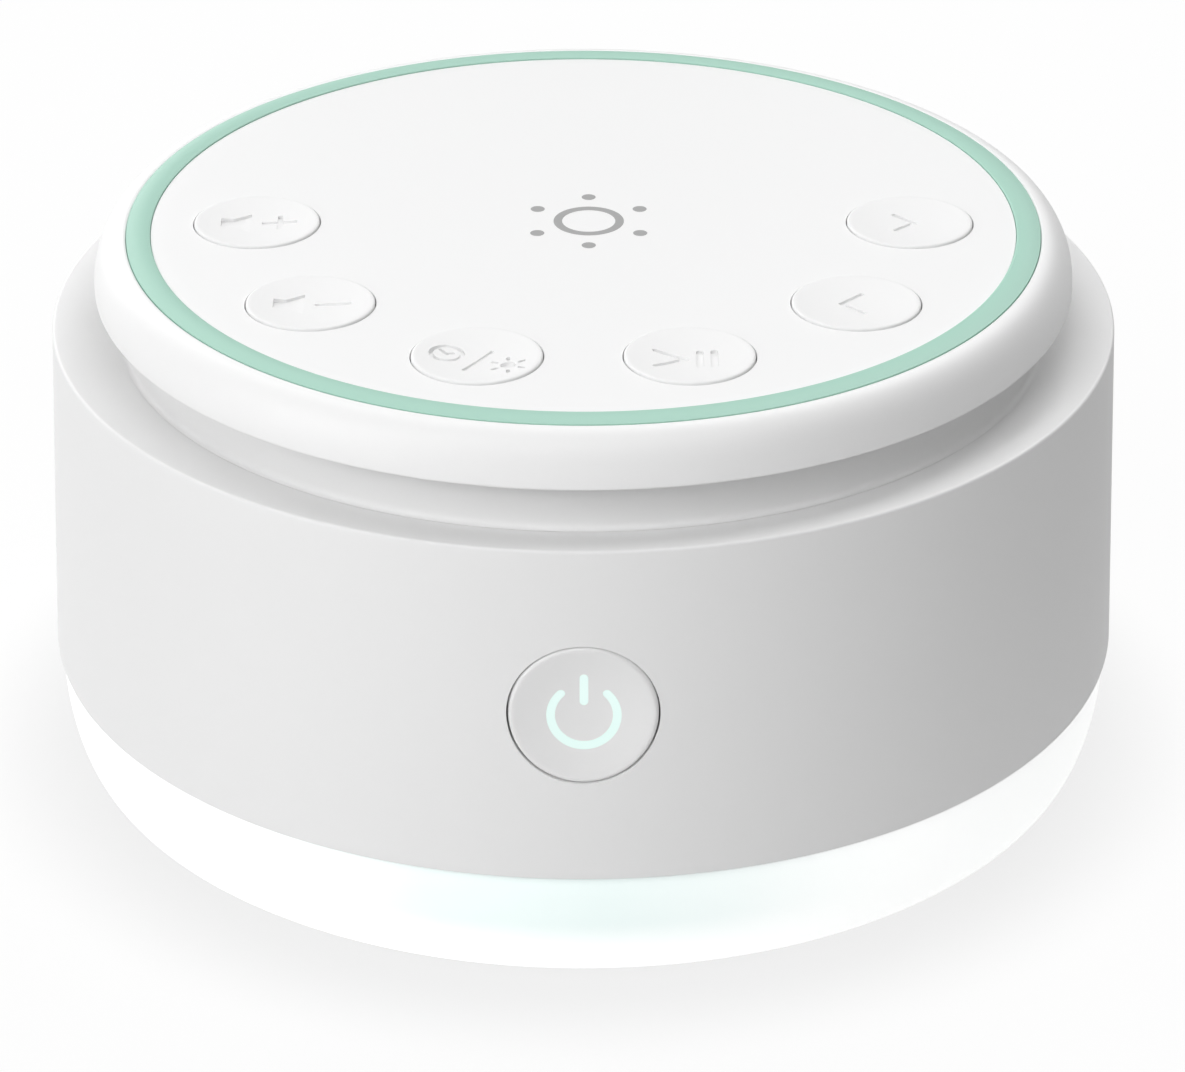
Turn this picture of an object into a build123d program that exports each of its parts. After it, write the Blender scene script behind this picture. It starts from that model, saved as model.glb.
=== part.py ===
from build123d import *
import os
from math import cos, radians, sin, sqrt

os.makedirs("parts", exist_ok=True)

# ---------------------------------------------------------------------------
# Driving sizes, millimetres. The origin is the centre of the footprint on the
# table, +Z is up and the front, with the power button, faces -Y.
# ---------------------------------------------------------------------------

# Body shell: a slightly flared drum, open below, with a dished top.
body_top_r = 50.0
body_flare = 1.0
body_h = 32.35
shell_wall = 2.2
dish_drop = 1.5
dish_w = 6.93
dish_edge = 0.25
baffle_t = 2.2

# Light ring, clamped between the base plate and the chassis plate.
ring_h = 11.5
ring_inset = 0.5
ring_round_w = 3.5
ring_straight = 1.0
ring_wall = 2.0
spigot_h = 1.1
spigot_t = 1.4
spigot_gap = 0.2
ledge_w = 2.2
ledge_t = 1.6

# Rubber feet and base plate.
foot_count = 4
foot_inset = 2.6
foot_angle = 45.0
foot_r = 5.0
foot_proud = 0.8
foot_recess = 1.2
foot_gap = 0.1
foot_edge = 0.3
base_edge_t = 1.2
base_pad_h = 1.0
base_gap = 0.2
base_boss_wall = 1.7
base_boss_h = 1.6

# Screws: the large ones hold the housings, the small ones the boards.
screw_head_r = 2.3
screw_head_h = 1.5
screw_r = 1.0
small_head_r = 1.7
small_head_h = 1.0
small_screw_r = 0.75
screw_play = 0.05
screw_clearance = 0.3
screw_tip_gap = 0.2
head_gap = 0.3
head_edge = 0.4

# Chassis plate, lamp board and its LEDs.
chassis_lift = 0.3
chassis_t = 2.0
chassis_gap = 0.4
leg_r = 3.2
leg_hole_gap = 0.4
leg_pilot_l = 5.0
lamp_board_t = 1.2
lamp_board_gap = 0.9
lamp_board_hole_r = 24.0
led_count = 12
led_inset = 4.8
led_l = 3.5
led_w = 2.8
led_h = 0.9
post_r = 3.2
post_wall_gap = 0.4
post_rib_t = 2.0
post_pilot_l = 6.0

# Pouch cell in its tray.
cell_l = 50.0
cell_w = 34.0
cell_h = 5.0
cell_round = 1.5
cell_y = -18.0
tape_t = 0.4
tape_margin = 4.0
tray_h = 2.4
tray_wall = 1.2
tray_gap = 0.5

# Main board, in the rear half.
board_t = 1.6
board_half_w = 34.0
board_front_y = 3.0
board_gap = 1.4
standoff_h = 1.6
standoff_r = 2.6
board_screw_inset = 6.0
board_rear_screw_x = 15.0
board_rear_screw_inset = 9.0
post_board_gap = 0.7
chip_h = 1.2
# Chips as x, y, width and depth: processor, memory, amplifier, charger.
chips = ((-14.0, 20.0, 10.0, 10.0), (-22.0, 29.0, 5.0, 6.0), (13.0, 19.0, 5.0, 5.0),
         (12.0, 28.0, 4.0, 3.0))
socket_pitch = 18.0
socket_inset = 4.5
socket_l = 6.0
socket_w = 4.5
socket_h = 2.9

# USB-C socket in the rear wall.
usb_w = 8.94
usb_h = 3.26
usb_l = 7.35
usb_sheet = 0.3
usb_sink = 1.3
usb_panel_gap = 0.22
usb_cut_flat = 0.04
usb_tongue_w = 6.7
usb_tongue_t = 0.7
usb_tongue_short = 1.0
usb_block_l = 1.5

# Loudspeaker, a 50 mm driver that hangs below the baffle and fires upwards.
opening_lap = 0.7
gasket_t = 0.5
gasket_w = 2.2
frame_r = 26.0
frame_t = 1.0
ear_r = 2.6
ear_out = 2.0
ear_count = 4
ear_angle = 22.5
speaker_pilot_l = 1.3
basket_depth = 9.0
basket_floor_t = 1.0
basket_floor_r = 17.5
basket_floor_hole_r = 9.5
basket_wall = 1.2
basket_land_w = 3.3
basket_shoulder_w = 1.8
spider_shelf_r = 14.3
spider_shelf_h = 1.55
window_count = 6
window_w = 13.0
window_lap = 2.4
top_plate_t = 2.0
top_plate_r = 17.0
coil_gap = 0.35
motor_gap = 1.95
magnet_r = 18.5
magnet_hole_r = 9.5
back_plate_t = 2.0
back_plate_r = 17.0
pole_r = 6.3
pole_gap = 0.4
former_t = 0.3
winding_t = 0.3
winding_h = 4.0
former_tail = 0.5
spider_t = 0.3
spider_wave = 0.5
spider_waves = 3
spider_neck_w = 1.5
spider_gap = 0.3
cone_t = 0.5
cone_lip = 1.2
cone_lip_t = 0.4
cone_depth = 5.0
dust_cap_r = 8.3
dust_cap_h = 2.2
dust_cap_t = 0.4
surround_t = 0.3
surround_roll_h = 0.8
surround_land = 0.7
roll_w = 3.3
roll_gap = 0.2

# Grille over the loudspeaker, let into the top of the baffle.
grille_t = 1.0
grille_land = 1.0
grille_gap = 0.2
grille_rings = 5
grille_bar = 1.4
grille_spokes = 6

# Neck between the dish and the cap, with the sound outlets under the rim.
collar_wall = 2.0
collar_sunk = 1.0
collar_gap = 0.03
collar_h = 5.25
outlet_count = 24
outlet_h = 1.2
outlet_arc = 8.5

# Cap: base, rim, accent ring and top panel.
cap_floor_t = 1.2
well_depth = 2.4
well_wall = 1.2
well_passage = 1.47
flange_t = 1.2
upstand_h = 0.8
upstand_w = 1.4
cap_screw_count = 4
cap_screw_angle = 45.0
cap_screw_inset = 4.4
cap_post_r = 2.8
cap_boss_h = 1.0
cap_boss_roof_t = 0.4
deflector_r = 11.0
deflector_h = 1.8
rim_out = 2.83
rim_crown_w = 2.95
rim_crown_h = 4.45
rim_skirt_h = 0.4
rim_wall_in = 2.1
rim_gap = 0.15
rim_shelf_t = 1.1
shelf_w = 1.4
panel_t = 1.8
accent_gap = 0.12
accent_w = 2.53
accent_proud = 0.2
accent_slope = 0.2
rim_top_gap = 0.1

# Key board, touch pad and the six keys.
key_board_t = 1.2
key_board_gap = 0.4
key_board_post_h = 1.8
key_board_screw_count = 3
key_board_screw_angle = 90.0
key_board_screw_inset = 11.6
key_board_rest_inset = 3.4
key_board_rest_angles = (-162.0, -126.0, -90.0, -54.0, -18.0, 60.0, 120.0)
rest_post_r = 1.6
touch_pad_r = 6.5
key_names = ("volume_up", "volume_down", "timer", "play", "previous", "next")
key_inset = 9.6
key_first_angle = -180.0
key_step_angle = 36.0
key_r = 5.95
key_gap = 0.13
key_proud = 0.2
key_dish = 0.3
key_edge = 0.25
key_wall = 1.05
key_roof_t = 1.0
key_flange_w = 0.95
key_flange_t = 0.6
key_stem_r = 1.4
key_travel = 0.25
switch_w = 4.5
switch_h = 1.1
plunger_r = 0.9
plunger_play = 0.05
plunger_proud = 0.4
plunger_sunk = 0.5

# Power button in the front wall, its switch board and its light pipe.
power_up = 16.4
power_r = 6.7
power_gap = 0.13
power_face_t = 1.4
power_edge = 0.2
power_seat_depth = 3.2
power_seat_w = 1.9
power_flange_w = 0.9
power_flange_t = 1.0
power_wall = 1.2
power_stem_r = 1.7
power_stem_l = 0.3
power_travel = 0.4
power_switch_w = 6.0
power_switch_h = 2.0
power_plunger_r = 1.6
power_plunger_proud = 0.6
power_plunger_sunk = 0.9
power_board_t = 1.2
power_board_w = 28.0
power_board_h = 15.0
power_post_gap = 0.5
power_post_r = 2.2
power_led_w = 1.6
power_led_h = 0.8
power_led_t = 0.6
power_led_drop = 4.2
mark_r = 2.92
mark_stroke = 0.8
mark_open = 44.0
mark_drop = 0.2
mark_bar_low = 1.3
mark_bar_high = 3.72

# Ribbon cable between the key board and the main board.
ribbon_inset = 5.4
ribbon_w = 8.0
ribbon_t = 0.3
ribbon_slot_gap = 0.5
connector_w = 11.0
connector_d = 3.4
connector_h = 1.5

# ---------------------------------------------------------------------------
# Heights and radii that follow from the sizes above.
# ---------------------------------------------------------------------------

base_z = foot_proud
base_top_z = base_z + base_edge_t + base_pad_h
base_boss_top_z = base_top_z + base_boss_h
body_z = base_z + ring_h
body_top_z = body_z + body_h
body_bottom_r = body_top_r + body_flare
crease_z = body_top_z - dish_drop
baffle_z = crease_z - baffle_t
shell_in_bottom_r = body_bottom_r - shell_wall
shell_in_top_r = body_top_r - shell_wall

ring_r = body_bottom_r - ring_inset
ring_foot_r = ring_r - ring_round_w
spigot_r = shell_in_bottom_r - spigot_gap
spigot_in_r = spigot_r - spigot_t
spigot_top_z = body_z + spigot_h
ledge_z = base_z + base_edge_t
ledge_out_r = ring_foot_r - ledge_w
ledge_in_r = ledge_out_r - ledge_w
base_edge_r = ledge_out_r - base_gap
base_pad_r = ledge_in_r - base_gap
foot_pitch_r = base_edge_r - foot_r - foot_inset

chassis_z = body_z + chassis_lift
chassis_top_z = chassis_z + chassis_t
chassis_r = spigot_in_r - chassis_gap
chassis_flange_r = shell_in_bottom_r - chassis_gap
lamp_board_z = chassis_z - lamp_board_t
lamp_board_r = spigot_in_r - lamp_board_gap
led_pitch_r = lamp_board_r - led_inset
post_pitch_r = shell_in_top_r - post_wall_gap - post_r
cell_z = chassis_top_z + tape_t
board_z = chassis_top_z + standoff_h
board_top_z = board_z + board_t
board_r = shell_in_bottom_r - board_gap

ear_pitch_r = frame_r + ear_out
gasket_in_r = frame_r - gasket_w
speaker_opening_r = gasket_in_r + opening_lap
surround_r = gasket_in_r - roll_gap
roll_r = surround_r - surround_land
cone_r = roll_r - roll_w
speaker_top_z = baffle_z - gasket_t
frame_z = speaker_top_z - frame_t
basket_z = speaker_top_z - basket_depth
basket_floor_z = basket_z + basket_floor_t
spider_z = basket_floor_z + spider_shelf_h
top_plate_z = basket_z - top_plate_t
back_plate_z = cell_z + cell_h + motor_gap
magnet_z = back_plate_z + back_plate_t
magnet_h = top_plate_z - magnet_z
former_in_r = pole_r + pole_gap
former_r = former_in_r + former_t
winding_r = former_r + winding_t
top_plate_hole_r = winding_r + coil_gap
winding_z = basket_z - (top_plate_t + winding_h) / 2
basket_in_r = frame_r - basket_land_w
cone_neck_z = speaker_top_z - cone_depth

grille_z = crease_z - grille_t
grille_r = speaker_opening_r + grille_land

collar_r = body_top_r - dish_w
collar_in_r = collar_r - collar_wall
collar_z = crease_z - collar_sunk
collar_top_z = crease_z + collar_h

flange_top_z = collar_top_z + flange_t
upstand_z = flange_top_z + upstand_h
well_floor_top_z = flange_top_z - well_depth
well_floor_z = well_floor_top_z - cap_floor_t
well_r = collar_in_r - well_passage - well_wall
rim_r = collar_r + rim_out
rim_wall_r = rim_r - rim_wall_in
shelf_z = upstand_z + rim_shelf_t
panel_top_z = shelf_z + panel_t
rim_crown_r = rim_r - rim_crown_w
accent_r = rim_crown_r - rim_top_gap
accent_in_r = accent_r - accent_w
panel_r = accent_in_r - accent_gap
rim_crown_z = collar_top_z + rim_skirt_h + rim_crown_h
shelf_in_r = panel_r - shelf_w
flange_r = rim_wall_r - rim_gap

key_board_z = well_floor_top_z + key_board_post_h
key_board_top_z = key_board_z + key_board_t
key_board_r = well_r - key_board_gap
key_pitch_r = panel_r - key_inset
key_board_pitch_r = key_pitch_r - key_board_screw_inset
cap_pitch_r = well_r - cap_screw_inset
ribbon_y = well_r - ribbon_inset
switch_top_z = key_board_top_z + switch_h
plunger_top_z = switch_top_z + plunger_proud
key_top_z = panel_top_z + key_proud
key_roof_z = key_top_z - key_dish - key_roof_t

power_z = body_z + power_up
power_front_y = -(body_bottom_r - body_flare * power_up / body_h)
power_seat_y = power_front_y + power_seat_depth
power_stem_y = power_seat_y + power_flange_t + power_stem_l
power_switch_y = power_stem_y + power_plunger_proud
power_board_y = power_switch_y + power_switch_h
power_post_x = power_r + power_seat_w + power_post_gap + power_post_r

usb_z = board_top_z + usb_h / 2
usb_mouth_y = body_bottom_r - body_flare * (usb_z - body_z) / body_h - usb_sink


def ring_spots(radius, count, first):
    """Points spaced evenly round the object's axis."""
    step = 360 / count
    return [polar(radius, first + step * i) for i in range(count)]


def polar(radius, angle):
    return (radius * cos(radians(angle)), radius * sin(radians(angle)))


def facing_front(y):
    """A plane square to the power button's axis, looking out of the front."""
    return Plane(origin=(0, y, power_z), x_dir=(1, 0, 0), z_dir=(0, -1, 0))


def facing_down(z):
    """A level plane that looks down; its own y runs towards the front."""
    return Plane(origin=(0, 0, z), x_dir=(1, 0, 0), z_dir=(0, 0, -1))


def mirrored(spots):
    """The same points, as a plane that faces down sees them."""
    return [(x, -y) for x, y in spots]


def screws_at(seat, spots, head_r, head_h, shank_r, length):
    """Pan-head screws: heads below the seat plane, shanks along its normal."""
    with BuildPart() as screws:
        with BuildSketch(seat):
            with Locations(*spots):
                Circle(shank_r)
        extrude(amount=length)
        with BuildSketch(seat):
            with Locations(*spots):
                Circle(head_r)
        extrude(amount=-head_h)
        crowns = screws.faces().sort_by(Axis(seat.origin, seat.z_dir))[: len(spots)]
        chamfer(crowns.edges(), head_edge)
    return screws


def save(builder, name):
    builder.part.label = name
    export_step(builder.part, f"parts/{name}.step")


foot_spots = ring_spots(foot_pitch_r, foot_count, foot_angle)
post_spots = ring_spots(post_pitch_r, foot_count, foot_angle)
cap_spots = ring_spots(cap_pitch_r, cap_screw_count, cap_screw_angle)
ear_spots = ring_spots(ear_pitch_r, ear_count, ear_angle)
board_spots = [(side * (board_half_w - board_screw_inset), board_front_y + board_screw_inset)
               for side in (-1, 1)]
board_spots += [(side * board_rear_screw_x, board_r - board_rear_screw_inset)
                for side in (-1, 1)]
key_board_spots = ring_spots(key_board_pitch_r, key_board_screw_count,
                             key_board_screw_angle)
key_angles = [key_first_angle + key_step_angle * i for i in range(len(key_names))]
key_spots = [polar(key_pitch_r, angle) for angle in key_angles]

# ---------------------------------------------------------------------------
# Rubber feet: soft discs pressed into round recesses, over the base screws.
# ---------------------------------------------------------------------------
with BuildPart() as rubber_feet:
    with BuildSketch():
        with Locations(*foot_spots):
            Circle(foot_r)
    extrude(amount=foot_proud + foot_recess)
    chamfer(rubber_feet.faces().sort_by(Axis.Z)[:foot_count].edges(), foot_edge)
save(rubber_feet, "rubber_feet")

# ---------------------------------------------------------------------------
# Base plate: its thin edge lifts the light ring's ledge, its raised middle
# centres the ring, and a boss behind each foot holds a counterbored screw.
# ---------------------------------------------------------------------------
foot_recess_z = base_z + foot_recess
with BuildPart() as base_plate:
    with BuildSketch(Plane.XY.offset(base_z)):
        Circle(base_edge_r)
    extrude(amount=base_edge_t)
    with BuildSketch(Plane.XY.offset(ledge_z)):
        Circle(base_pad_r)
    extrude(amount=base_pad_h)
    with BuildSketch(Plane.XY.offset(base_top_z)):
        with Locations(*foot_spots):
            Circle(screw_head_r + head_gap + base_boss_wall)
    extrude(amount=base_boss_h)
    with BuildSketch(Plane.XY.offset(base_z)):
        with Locations(*foot_spots):
            Circle(foot_r + foot_gap)
    extrude(amount=foot_recess, mode=Mode.SUBTRACT)
    with BuildSketch(Plane.XY.offset(foot_recess_z)):
        with Locations(*foot_spots):
            Circle(screw_head_r + head_gap)
    extrude(amount=screw_head_h + screw_play, mode=Mode.SUBTRACT)
    with BuildSketch(Plane.XY.offset(foot_recess_z)):
        with Locations(*foot_spots):
            Circle(screw_r + screw_clearance)
    extrude(amount=base_boss_top_z - foot_recess_z, mode=Mode.SUBTRACT)
save(base_plate, "base_plate")

base_screw_seat_z = foot_recess_z + screw_head_h + screw_play
base_screws = screws_at(Plane.XY.offset(base_screw_seat_z), foot_spots, screw_head_r,
                        screw_head_h, screw_r,
                        base_boss_top_z - base_screw_seat_z + leg_pilot_l - screw_tip_gap)
save(base_screws, "base_screws")

# ---------------------------------------------------------------------------
# Light ring: an opal moulding with an elliptical outer curve. A ledge at its
# foot is clamped by the base plate and a spigot on top enters the body shell.
# ---------------------------------------------------------------------------
curve_z = body_z - ring_straight
inner_curve_r = ring_r - ring_wall
inner_curve_z = curve_z - ring_wall / 2
floor_z = ledge_z + ledge_t
with BuildPart() as light_diffuser:
    with BuildSketch(Plane.XZ):
        with BuildLine():
            Polyline((ring_foot_r, base_z), (ledge_out_r, base_z), (ledge_out_r, ledge_z),
                     (ledge_in_r, ledge_z), (ledge_in_r, floor_z),
                     (inner_curve_r - ring_round_w, floor_z))
            EllipticalCenterArc((inner_curve_r - ring_round_w, inner_curve_z), ring_round_w,
                                inner_curve_z - floor_z, 270, arc_size=90)
            Polyline((inner_curve_r, inner_curve_z), (spigot_in_r, curve_z + ring_wall / 4),
                     (spigot_in_r, spigot_top_z), (spigot_r, spigot_top_z),
                     (spigot_r, body_z), (ring_r, body_z), (ring_r, curve_z))
            EllipticalCenterArc((ring_foot_r, curve_z), ring_round_w, curve_z - base_z, 270,
                                arc_size=90)
        make_face()
    revolve(axis=Axis.Z)
save(light_diffuser, "light_diffuser")

# ---------------------------------------------------------------------------
# Lamp board: an annulus on the underside of the chassis plate, cleared for
# the legs and the chassis screws, with its LEDs facing the table.
# ---------------------------------------------------------------------------
with BuildPart() as lamp_board:
    with BuildSketch(Plane.XY.offset(lamp_board_z)):
        Circle(lamp_board_r)
        Circle(lamp_board_hole_r, mode=Mode.SUBTRACT)
        with Locations(*foot_spots):
            Circle(leg_r + leg_hole_gap, mode=Mode.SUBTRACT)
        with Locations(*post_spots):
            Circle(screw_head_r + head_gap, mode=Mode.SUBTRACT)
    extrude(amount=lamp_board_t)
save(lamp_board, "lamp_board")

with BuildPart() as lamp_leds:
    with BuildSketch(Plane.XY.offset(lamp_board_z)):
        with PolarLocations(led_pitch_r, led_count):
            Rectangle(led_w, led_l)
    extrude(amount=-led_h)
save(lamp_leds, "lamp_leds")

# ---------------------------------------------------------------------------
# Chassis plate: closes the body below, rests on the ring's spigot, and has
# legs down to the base plate, a tray for the cell and standoffs for the board.
# ---------------------------------------------------------------------------
tray_l = cell_l + 2 * (tray_gap + tray_wall)
tray_w = cell_w + 2 * (tray_gap + tray_wall)
with BuildPart() as chassis_plate:
    with BuildSketch(Plane.XY.offset(chassis_z)):
        Circle(chassis_r)
    extrude(amount=chassis_t)
    with BuildSketch(Plane.XY.offset(spigot_top_z)):
        Circle(chassis_flange_r)
    extrude(amount=chassis_top_z - spigot_top_z)
    with BuildSketch(Plane.XY.offset(chassis_z)):
        with Locations(*foot_spots):
            Circle(leg_r)
    extrude(amount=base_boss_top_z - chassis_z)
    with BuildSketch(Plane.XY.offset(base_boss_top_z)):
        with Locations(*foot_spots):
            Circle(screw_r + screw_play)
    extrude(amount=leg_pilot_l, mode=Mode.SUBTRACT)
    with BuildSketch(Plane.XY.offset(chassis_z)):
        with Locations(*post_spots):
            Circle(screw_r + screw_clearance)
    extrude(amount=chassis_t, mode=Mode.SUBTRACT)
    with BuildSketch(Plane.XY.offset(chassis_top_z)):
        with Locations(*board_spots):
            Circle(standoff_r)
    extrude(amount=standoff_h)
    with BuildSketch(Plane.XY.offset(chassis_top_z)):
        with Locations((0, cell_y)):
            Rectangle(tray_l, tray_w)
            Rectangle(tray_l - 2 * tray_wall, tray_w - 2 * tray_wall, mode=Mode.SUBTRACT)
    extrude(amount=tray_h)
    with BuildSketch(Plane.XY.offset(board_z)):
        with Locations(*board_spots):
            Circle(small_screw_r + screw_play)
    extrude(amount=-standoff_h - chassis_t / 2, mode=Mode.SUBTRACT)
save(chassis_plate, "chassis_plate")

chassis_screws = screws_at(Plane.XY.offset(chassis_z), post_spots, screw_head_r,
                           screw_head_h, screw_r,
                           chassis_t + post_pilot_l - screw_tip_gap)
save(chassis_screws, "chassis_screws")

# ---------------------------------------------------------------------------
# Pouch cell on its foam tape.
# ---------------------------------------------------------------------------
with BuildPart() as battery_tape:
    with BuildSketch(Plane.XY.offset(chassis_top_z)):
        with Locations((0, cell_y)):
            Rectangle(cell_l - 2 * tape_margin, cell_w - 2 * tape_margin)
    extrude(amount=tape_t)
save(battery_tape, "battery_tape")

with BuildPart() as battery_cell:
    with BuildSketch(Plane.XY.offset(cell_z)):
        with Locations((0, cell_y)):
            RectangleRounded(cell_l, cell_w, cell_round)
    extrude(amount=cell_h)
    chamfer(battery_cell.faces().sort_by(Axis.Z)[-1].edges(), cell_round / 2)
save(battery_cell, "battery_cell")

# ---------------------------------------------------------------------------
# Main board: follows the rear wall, notched round the shell's screw posts.
# ---------------------------------------------------------------------------
with BuildPart() as main_board:
    with BuildSketch(Plane.XY.offset(board_z)):
        Circle(board_r)
        with Locations((0, board_front_y)):
            Rectangle(2 * board_half_w, board_r, align=(Align.CENTER, Align.MIN),
                      mode=Mode.INTERSECT)
        with Locations(*post_spots):
            Circle(post_r + post_board_gap, mode=Mode.SUBTRACT)
        with Locations(*board_spots):
            Circle(small_screw_r + screw_clearance, mode=Mode.SUBTRACT)
    extrude(amount=board_t)
save(main_board, "main_board")

board_screws = screws_at(facing_down(board_top_z), mirrored(board_spots), small_head_r,
                         small_head_h, small_screw_r, board_t + standoff_h)
save(board_screws, "board_screws")

with BuildPart() as board_chips:
    with BuildSketch(Plane.XY.offset(board_top_z)):
        for x, y, chip_w, chip_d in chips:
            with Locations((x, y)):
                Rectangle(chip_w, chip_d)
    extrude(amount=chip_h)
save(board_chips, "board_chips")

with BuildPart() as lead_sockets:
    with BuildSketch(Plane.XY.offset(board_top_z)):
        with Locations(*[(side * socket_pitch, board_front_y + socket_inset)
                         for side in (-1, 0, 1)]):
            Rectangle(socket_l, socket_w)
    extrude(amount=socket_h)
save(lead_sockets, "lead_sockets")

# ---------------------------------------------------------------------------
# USB-C socket: a folded sheet shell on the main board, mouth to the rear, and
# the tongue with its moulded block inside.
# ---------------------------------------------------------------------------
usb_back_y = usb_mouth_y - usb_l
rear_plane = Plane(origin=(0, usb_back_y, usb_z), x_dir=(-1, 0, 0), z_dir=(0, 1, 0))
with BuildPart() as usb_socket:
    with BuildSketch(rear_plane):
        SlotOverall(usb_w, usb_h)
        SlotOverall(usb_w - 2 * usb_sheet, usb_h - 2 * usb_sheet, mode=Mode.SUBTRACT)
    extrude(amount=usb_l)
save(usb_socket, "usb_socket")

with BuildPart() as usb_tongue:
    with BuildSketch(rear_plane):
        SlotOverall(usb_w - 2 * usb_sheet, usb_h - 2 * usb_sheet)
    extrude(amount=usb_block_l)
    with BuildSketch(rear_plane):
        Rectangle(usb_tongue_w, usb_tongue_t)
    extrude(amount=usb_l - usb_tongue_short)
save(usb_tongue, "usb_tongue")

# ---------------------------------------------------------------------------
# Body shell: flared wall, dished top and baffle in one moulding, with screw
# posts, the seat of the power button, and the cut-out of the USB socket.
# ---------------------------------------------------------------------------
groove_r = collar_r + collar_gap
groove_in_r = collar_in_r - collar_gap
ribbon_slot_w = ribbon_w + 2 * ribbon_slot_gap
ribbon_slot_t = ribbon_t + 2 * ribbon_slot_gap
baffle_shell_r = shell_in_top_r + body_flare * (body_top_z - baffle_z) / body_h
usb_cut_h = usb_h + 2 * usb_panel_gap
power_post_spots = ((-power_post_x, 0), (power_post_x, 0))
power_post_l = power_board_y - power_front_y - shell_wall
with BuildPart() as body_shell:
    with BuildSketch(Plane.XZ):
        with BuildLine():
            Polyline((body_bottom_r, body_z), (body_top_r, body_top_z), (groove_r, crease_z),
                     (groove_r, collar_z), (groove_in_r, collar_z), (groove_in_r, crease_z),
                     (grille_r + grille_gap, crease_z), (grille_r + grille_gap, grille_z),
                     (speaker_opening_r, grille_z), (speaker_opening_r, baffle_z),
                     (baffle_shell_r, baffle_z), (shell_in_bottom_r, body_z), close=True)
        make_face()
    revolve(axis=Axis.Z)
    rim_edges = body_shell.edges().filter_by(GeomType.CIRCLE).group_by(Axis.Z)[-1]
    chamfer(rim_edges, dish_edge)
    with BuildSketch(Plane.XY.offset(chassis_top_z)):
        with Locations(*post_spots):
            Circle(post_r)
        with PolarLocations(post_pitch_r, foot_count, foot_angle):
            Rectangle(post_r + post_wall_gap + shell_wall, post_rib_t,
                      align=(Align.MIN, Align.CENTER))
    extrude(amount=baffle_z - chassis_top_z)
    with BuildSketch(Plane.XY.offset(chassis_top_z)):
        with Locations(*post_spots):
            Circle(screw_r + screw_play)
    extrude(amount=post_pilot_l, mode=Mode.SUBTRACT)
    with BuildSketch(Plane.XY.offset(baffle_z)):
        with Locations(*ear_spots):
            Circle(small_screw_r + screw_play)
    extrude(amount=speaker_pilot_l, mode=Mode.SUBTRACT)
    with BuildSketch(Plane.XY.offset(baffle_z)):
        with Locations(*cap_spots):
            Circle(screw_r + screw_clearance)
        with Locations((0, ribbon_y)):
            Rectangle(ribbon_slot_w, ribbon_slot_t)
    extrude(amount=baffle_t, mode=Mode.SUBTRACT)
    with BuildSketch(facing_front(power_seat_y)):
        Circle(power_r + power_seat_w)
    extrude(amount=power_seat_depth - shell_wall / 2)
    with BuildSketch(facing_front(power_board_y)):
        with Locations(*power_post_spots):
            Circle(power_post_r)
    extrude(amount=power_post_l)
    with BuildSketch(facing_front(power_board_y)):
        Circle(power_r + power_gap)
    extrude(amount=power_board_y - power_front_y + shell_wall, mode=Mode.SUBTRACT)
    with BuildSketch(facing_front(power_board_y)):
        with Locations(*power_post_spots):
            Circle(small_screw_r + screw_play)
    extrude(amount=power_post_l - shell_wall / 2, mode=Mode.SUBTRACT)
    with BuildSketch(rear_plane):
        RectangleRounded(usb_w + 2 * usb_panel_gap, usb_cut_h, usb_cut_h / 2 - usb_cut_flat)
    extrude(amount=usb_l + usb_sink + shell_wall, mode=Mode.SUBTRACT)
save(body_shell, "body_shell")

# ---------------------------------------------------------------------------
# Sound collar: the neck between the body and the cap. Outlets are notched
# into its upper edge, which the cap's flange closes.
# ---------------------------------------------------------------------------
outlet_w = 2 * collar_r * sin(radians(outlet_arc / 2))
with BuildPart() as sound_collar:
    with BuildSketch(Plane.XY.offset(collar_z)):
        Circle(collar_r)
        Circle(collar_in_r, mode=Mode.SUBTRACT)
    extrude(amount=collar_top_z - collar_z)
    with BuildSketch(Plane.XY.offset(collar_top_z)):
        with PolarLocations(collar_r - collar_wall / 2, outlet_count):
            Rectangle(2 * collar_wall, outlet_w)
    extrude(amount=-outlet_h, mode=Mode.SUBTRACT)
save(sound_collar, "sound_collar")

# ---------------------------------------------------------------------------
# Speaker grille: rings and spokes in a disc that lies in the baffle's rebate.
# ---------------------------------------------------------------------------
ring_pitch = speaker_opening_r / grille_rings
with BuildPart() as speaker_grille:
    with BuildSketch(Plane.XY.offset(grille_z)):
        Circle(grille_r)
        for i in range(grille_rings, 0, -1):
            Circle(ring_pitch * i, mode=Mode.SUBTRACT)
            Circle(ring_pitch * (i - 1) + grille_bar)
        with PolarLocations(0, grille_spokes // 2, angular_range=180):
            Rectangle(2 * speaker_opening_r, grille_bar)
    extrude(amount=grille_t)
save(speaker_grille, "speaker_grille")

# ---------------------------------------------------------------------------
# Loudspeaker frame: gasket, pressed basket with windows and ears, screws.
# ---------------------------------------------------------------------------
with BuildPart() as speaker_gasket:
    with BuildSketch(Plane.XY.offset(speaker_top_z)):
        Circle(frame_r)
        with Locations(*ear_spots):
            Circle(ear_r)
        Circle(gasket_in_r, mode=Mode.SUBTRACT)
        with Locations(*ear_spots):
            Circle(small_screw_r + screw_clearance, mode=Mode.SUBTRACT)
    extrude(amount=gasket_t)
save(speaker_gasket, "speaker_gasket")

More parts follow.
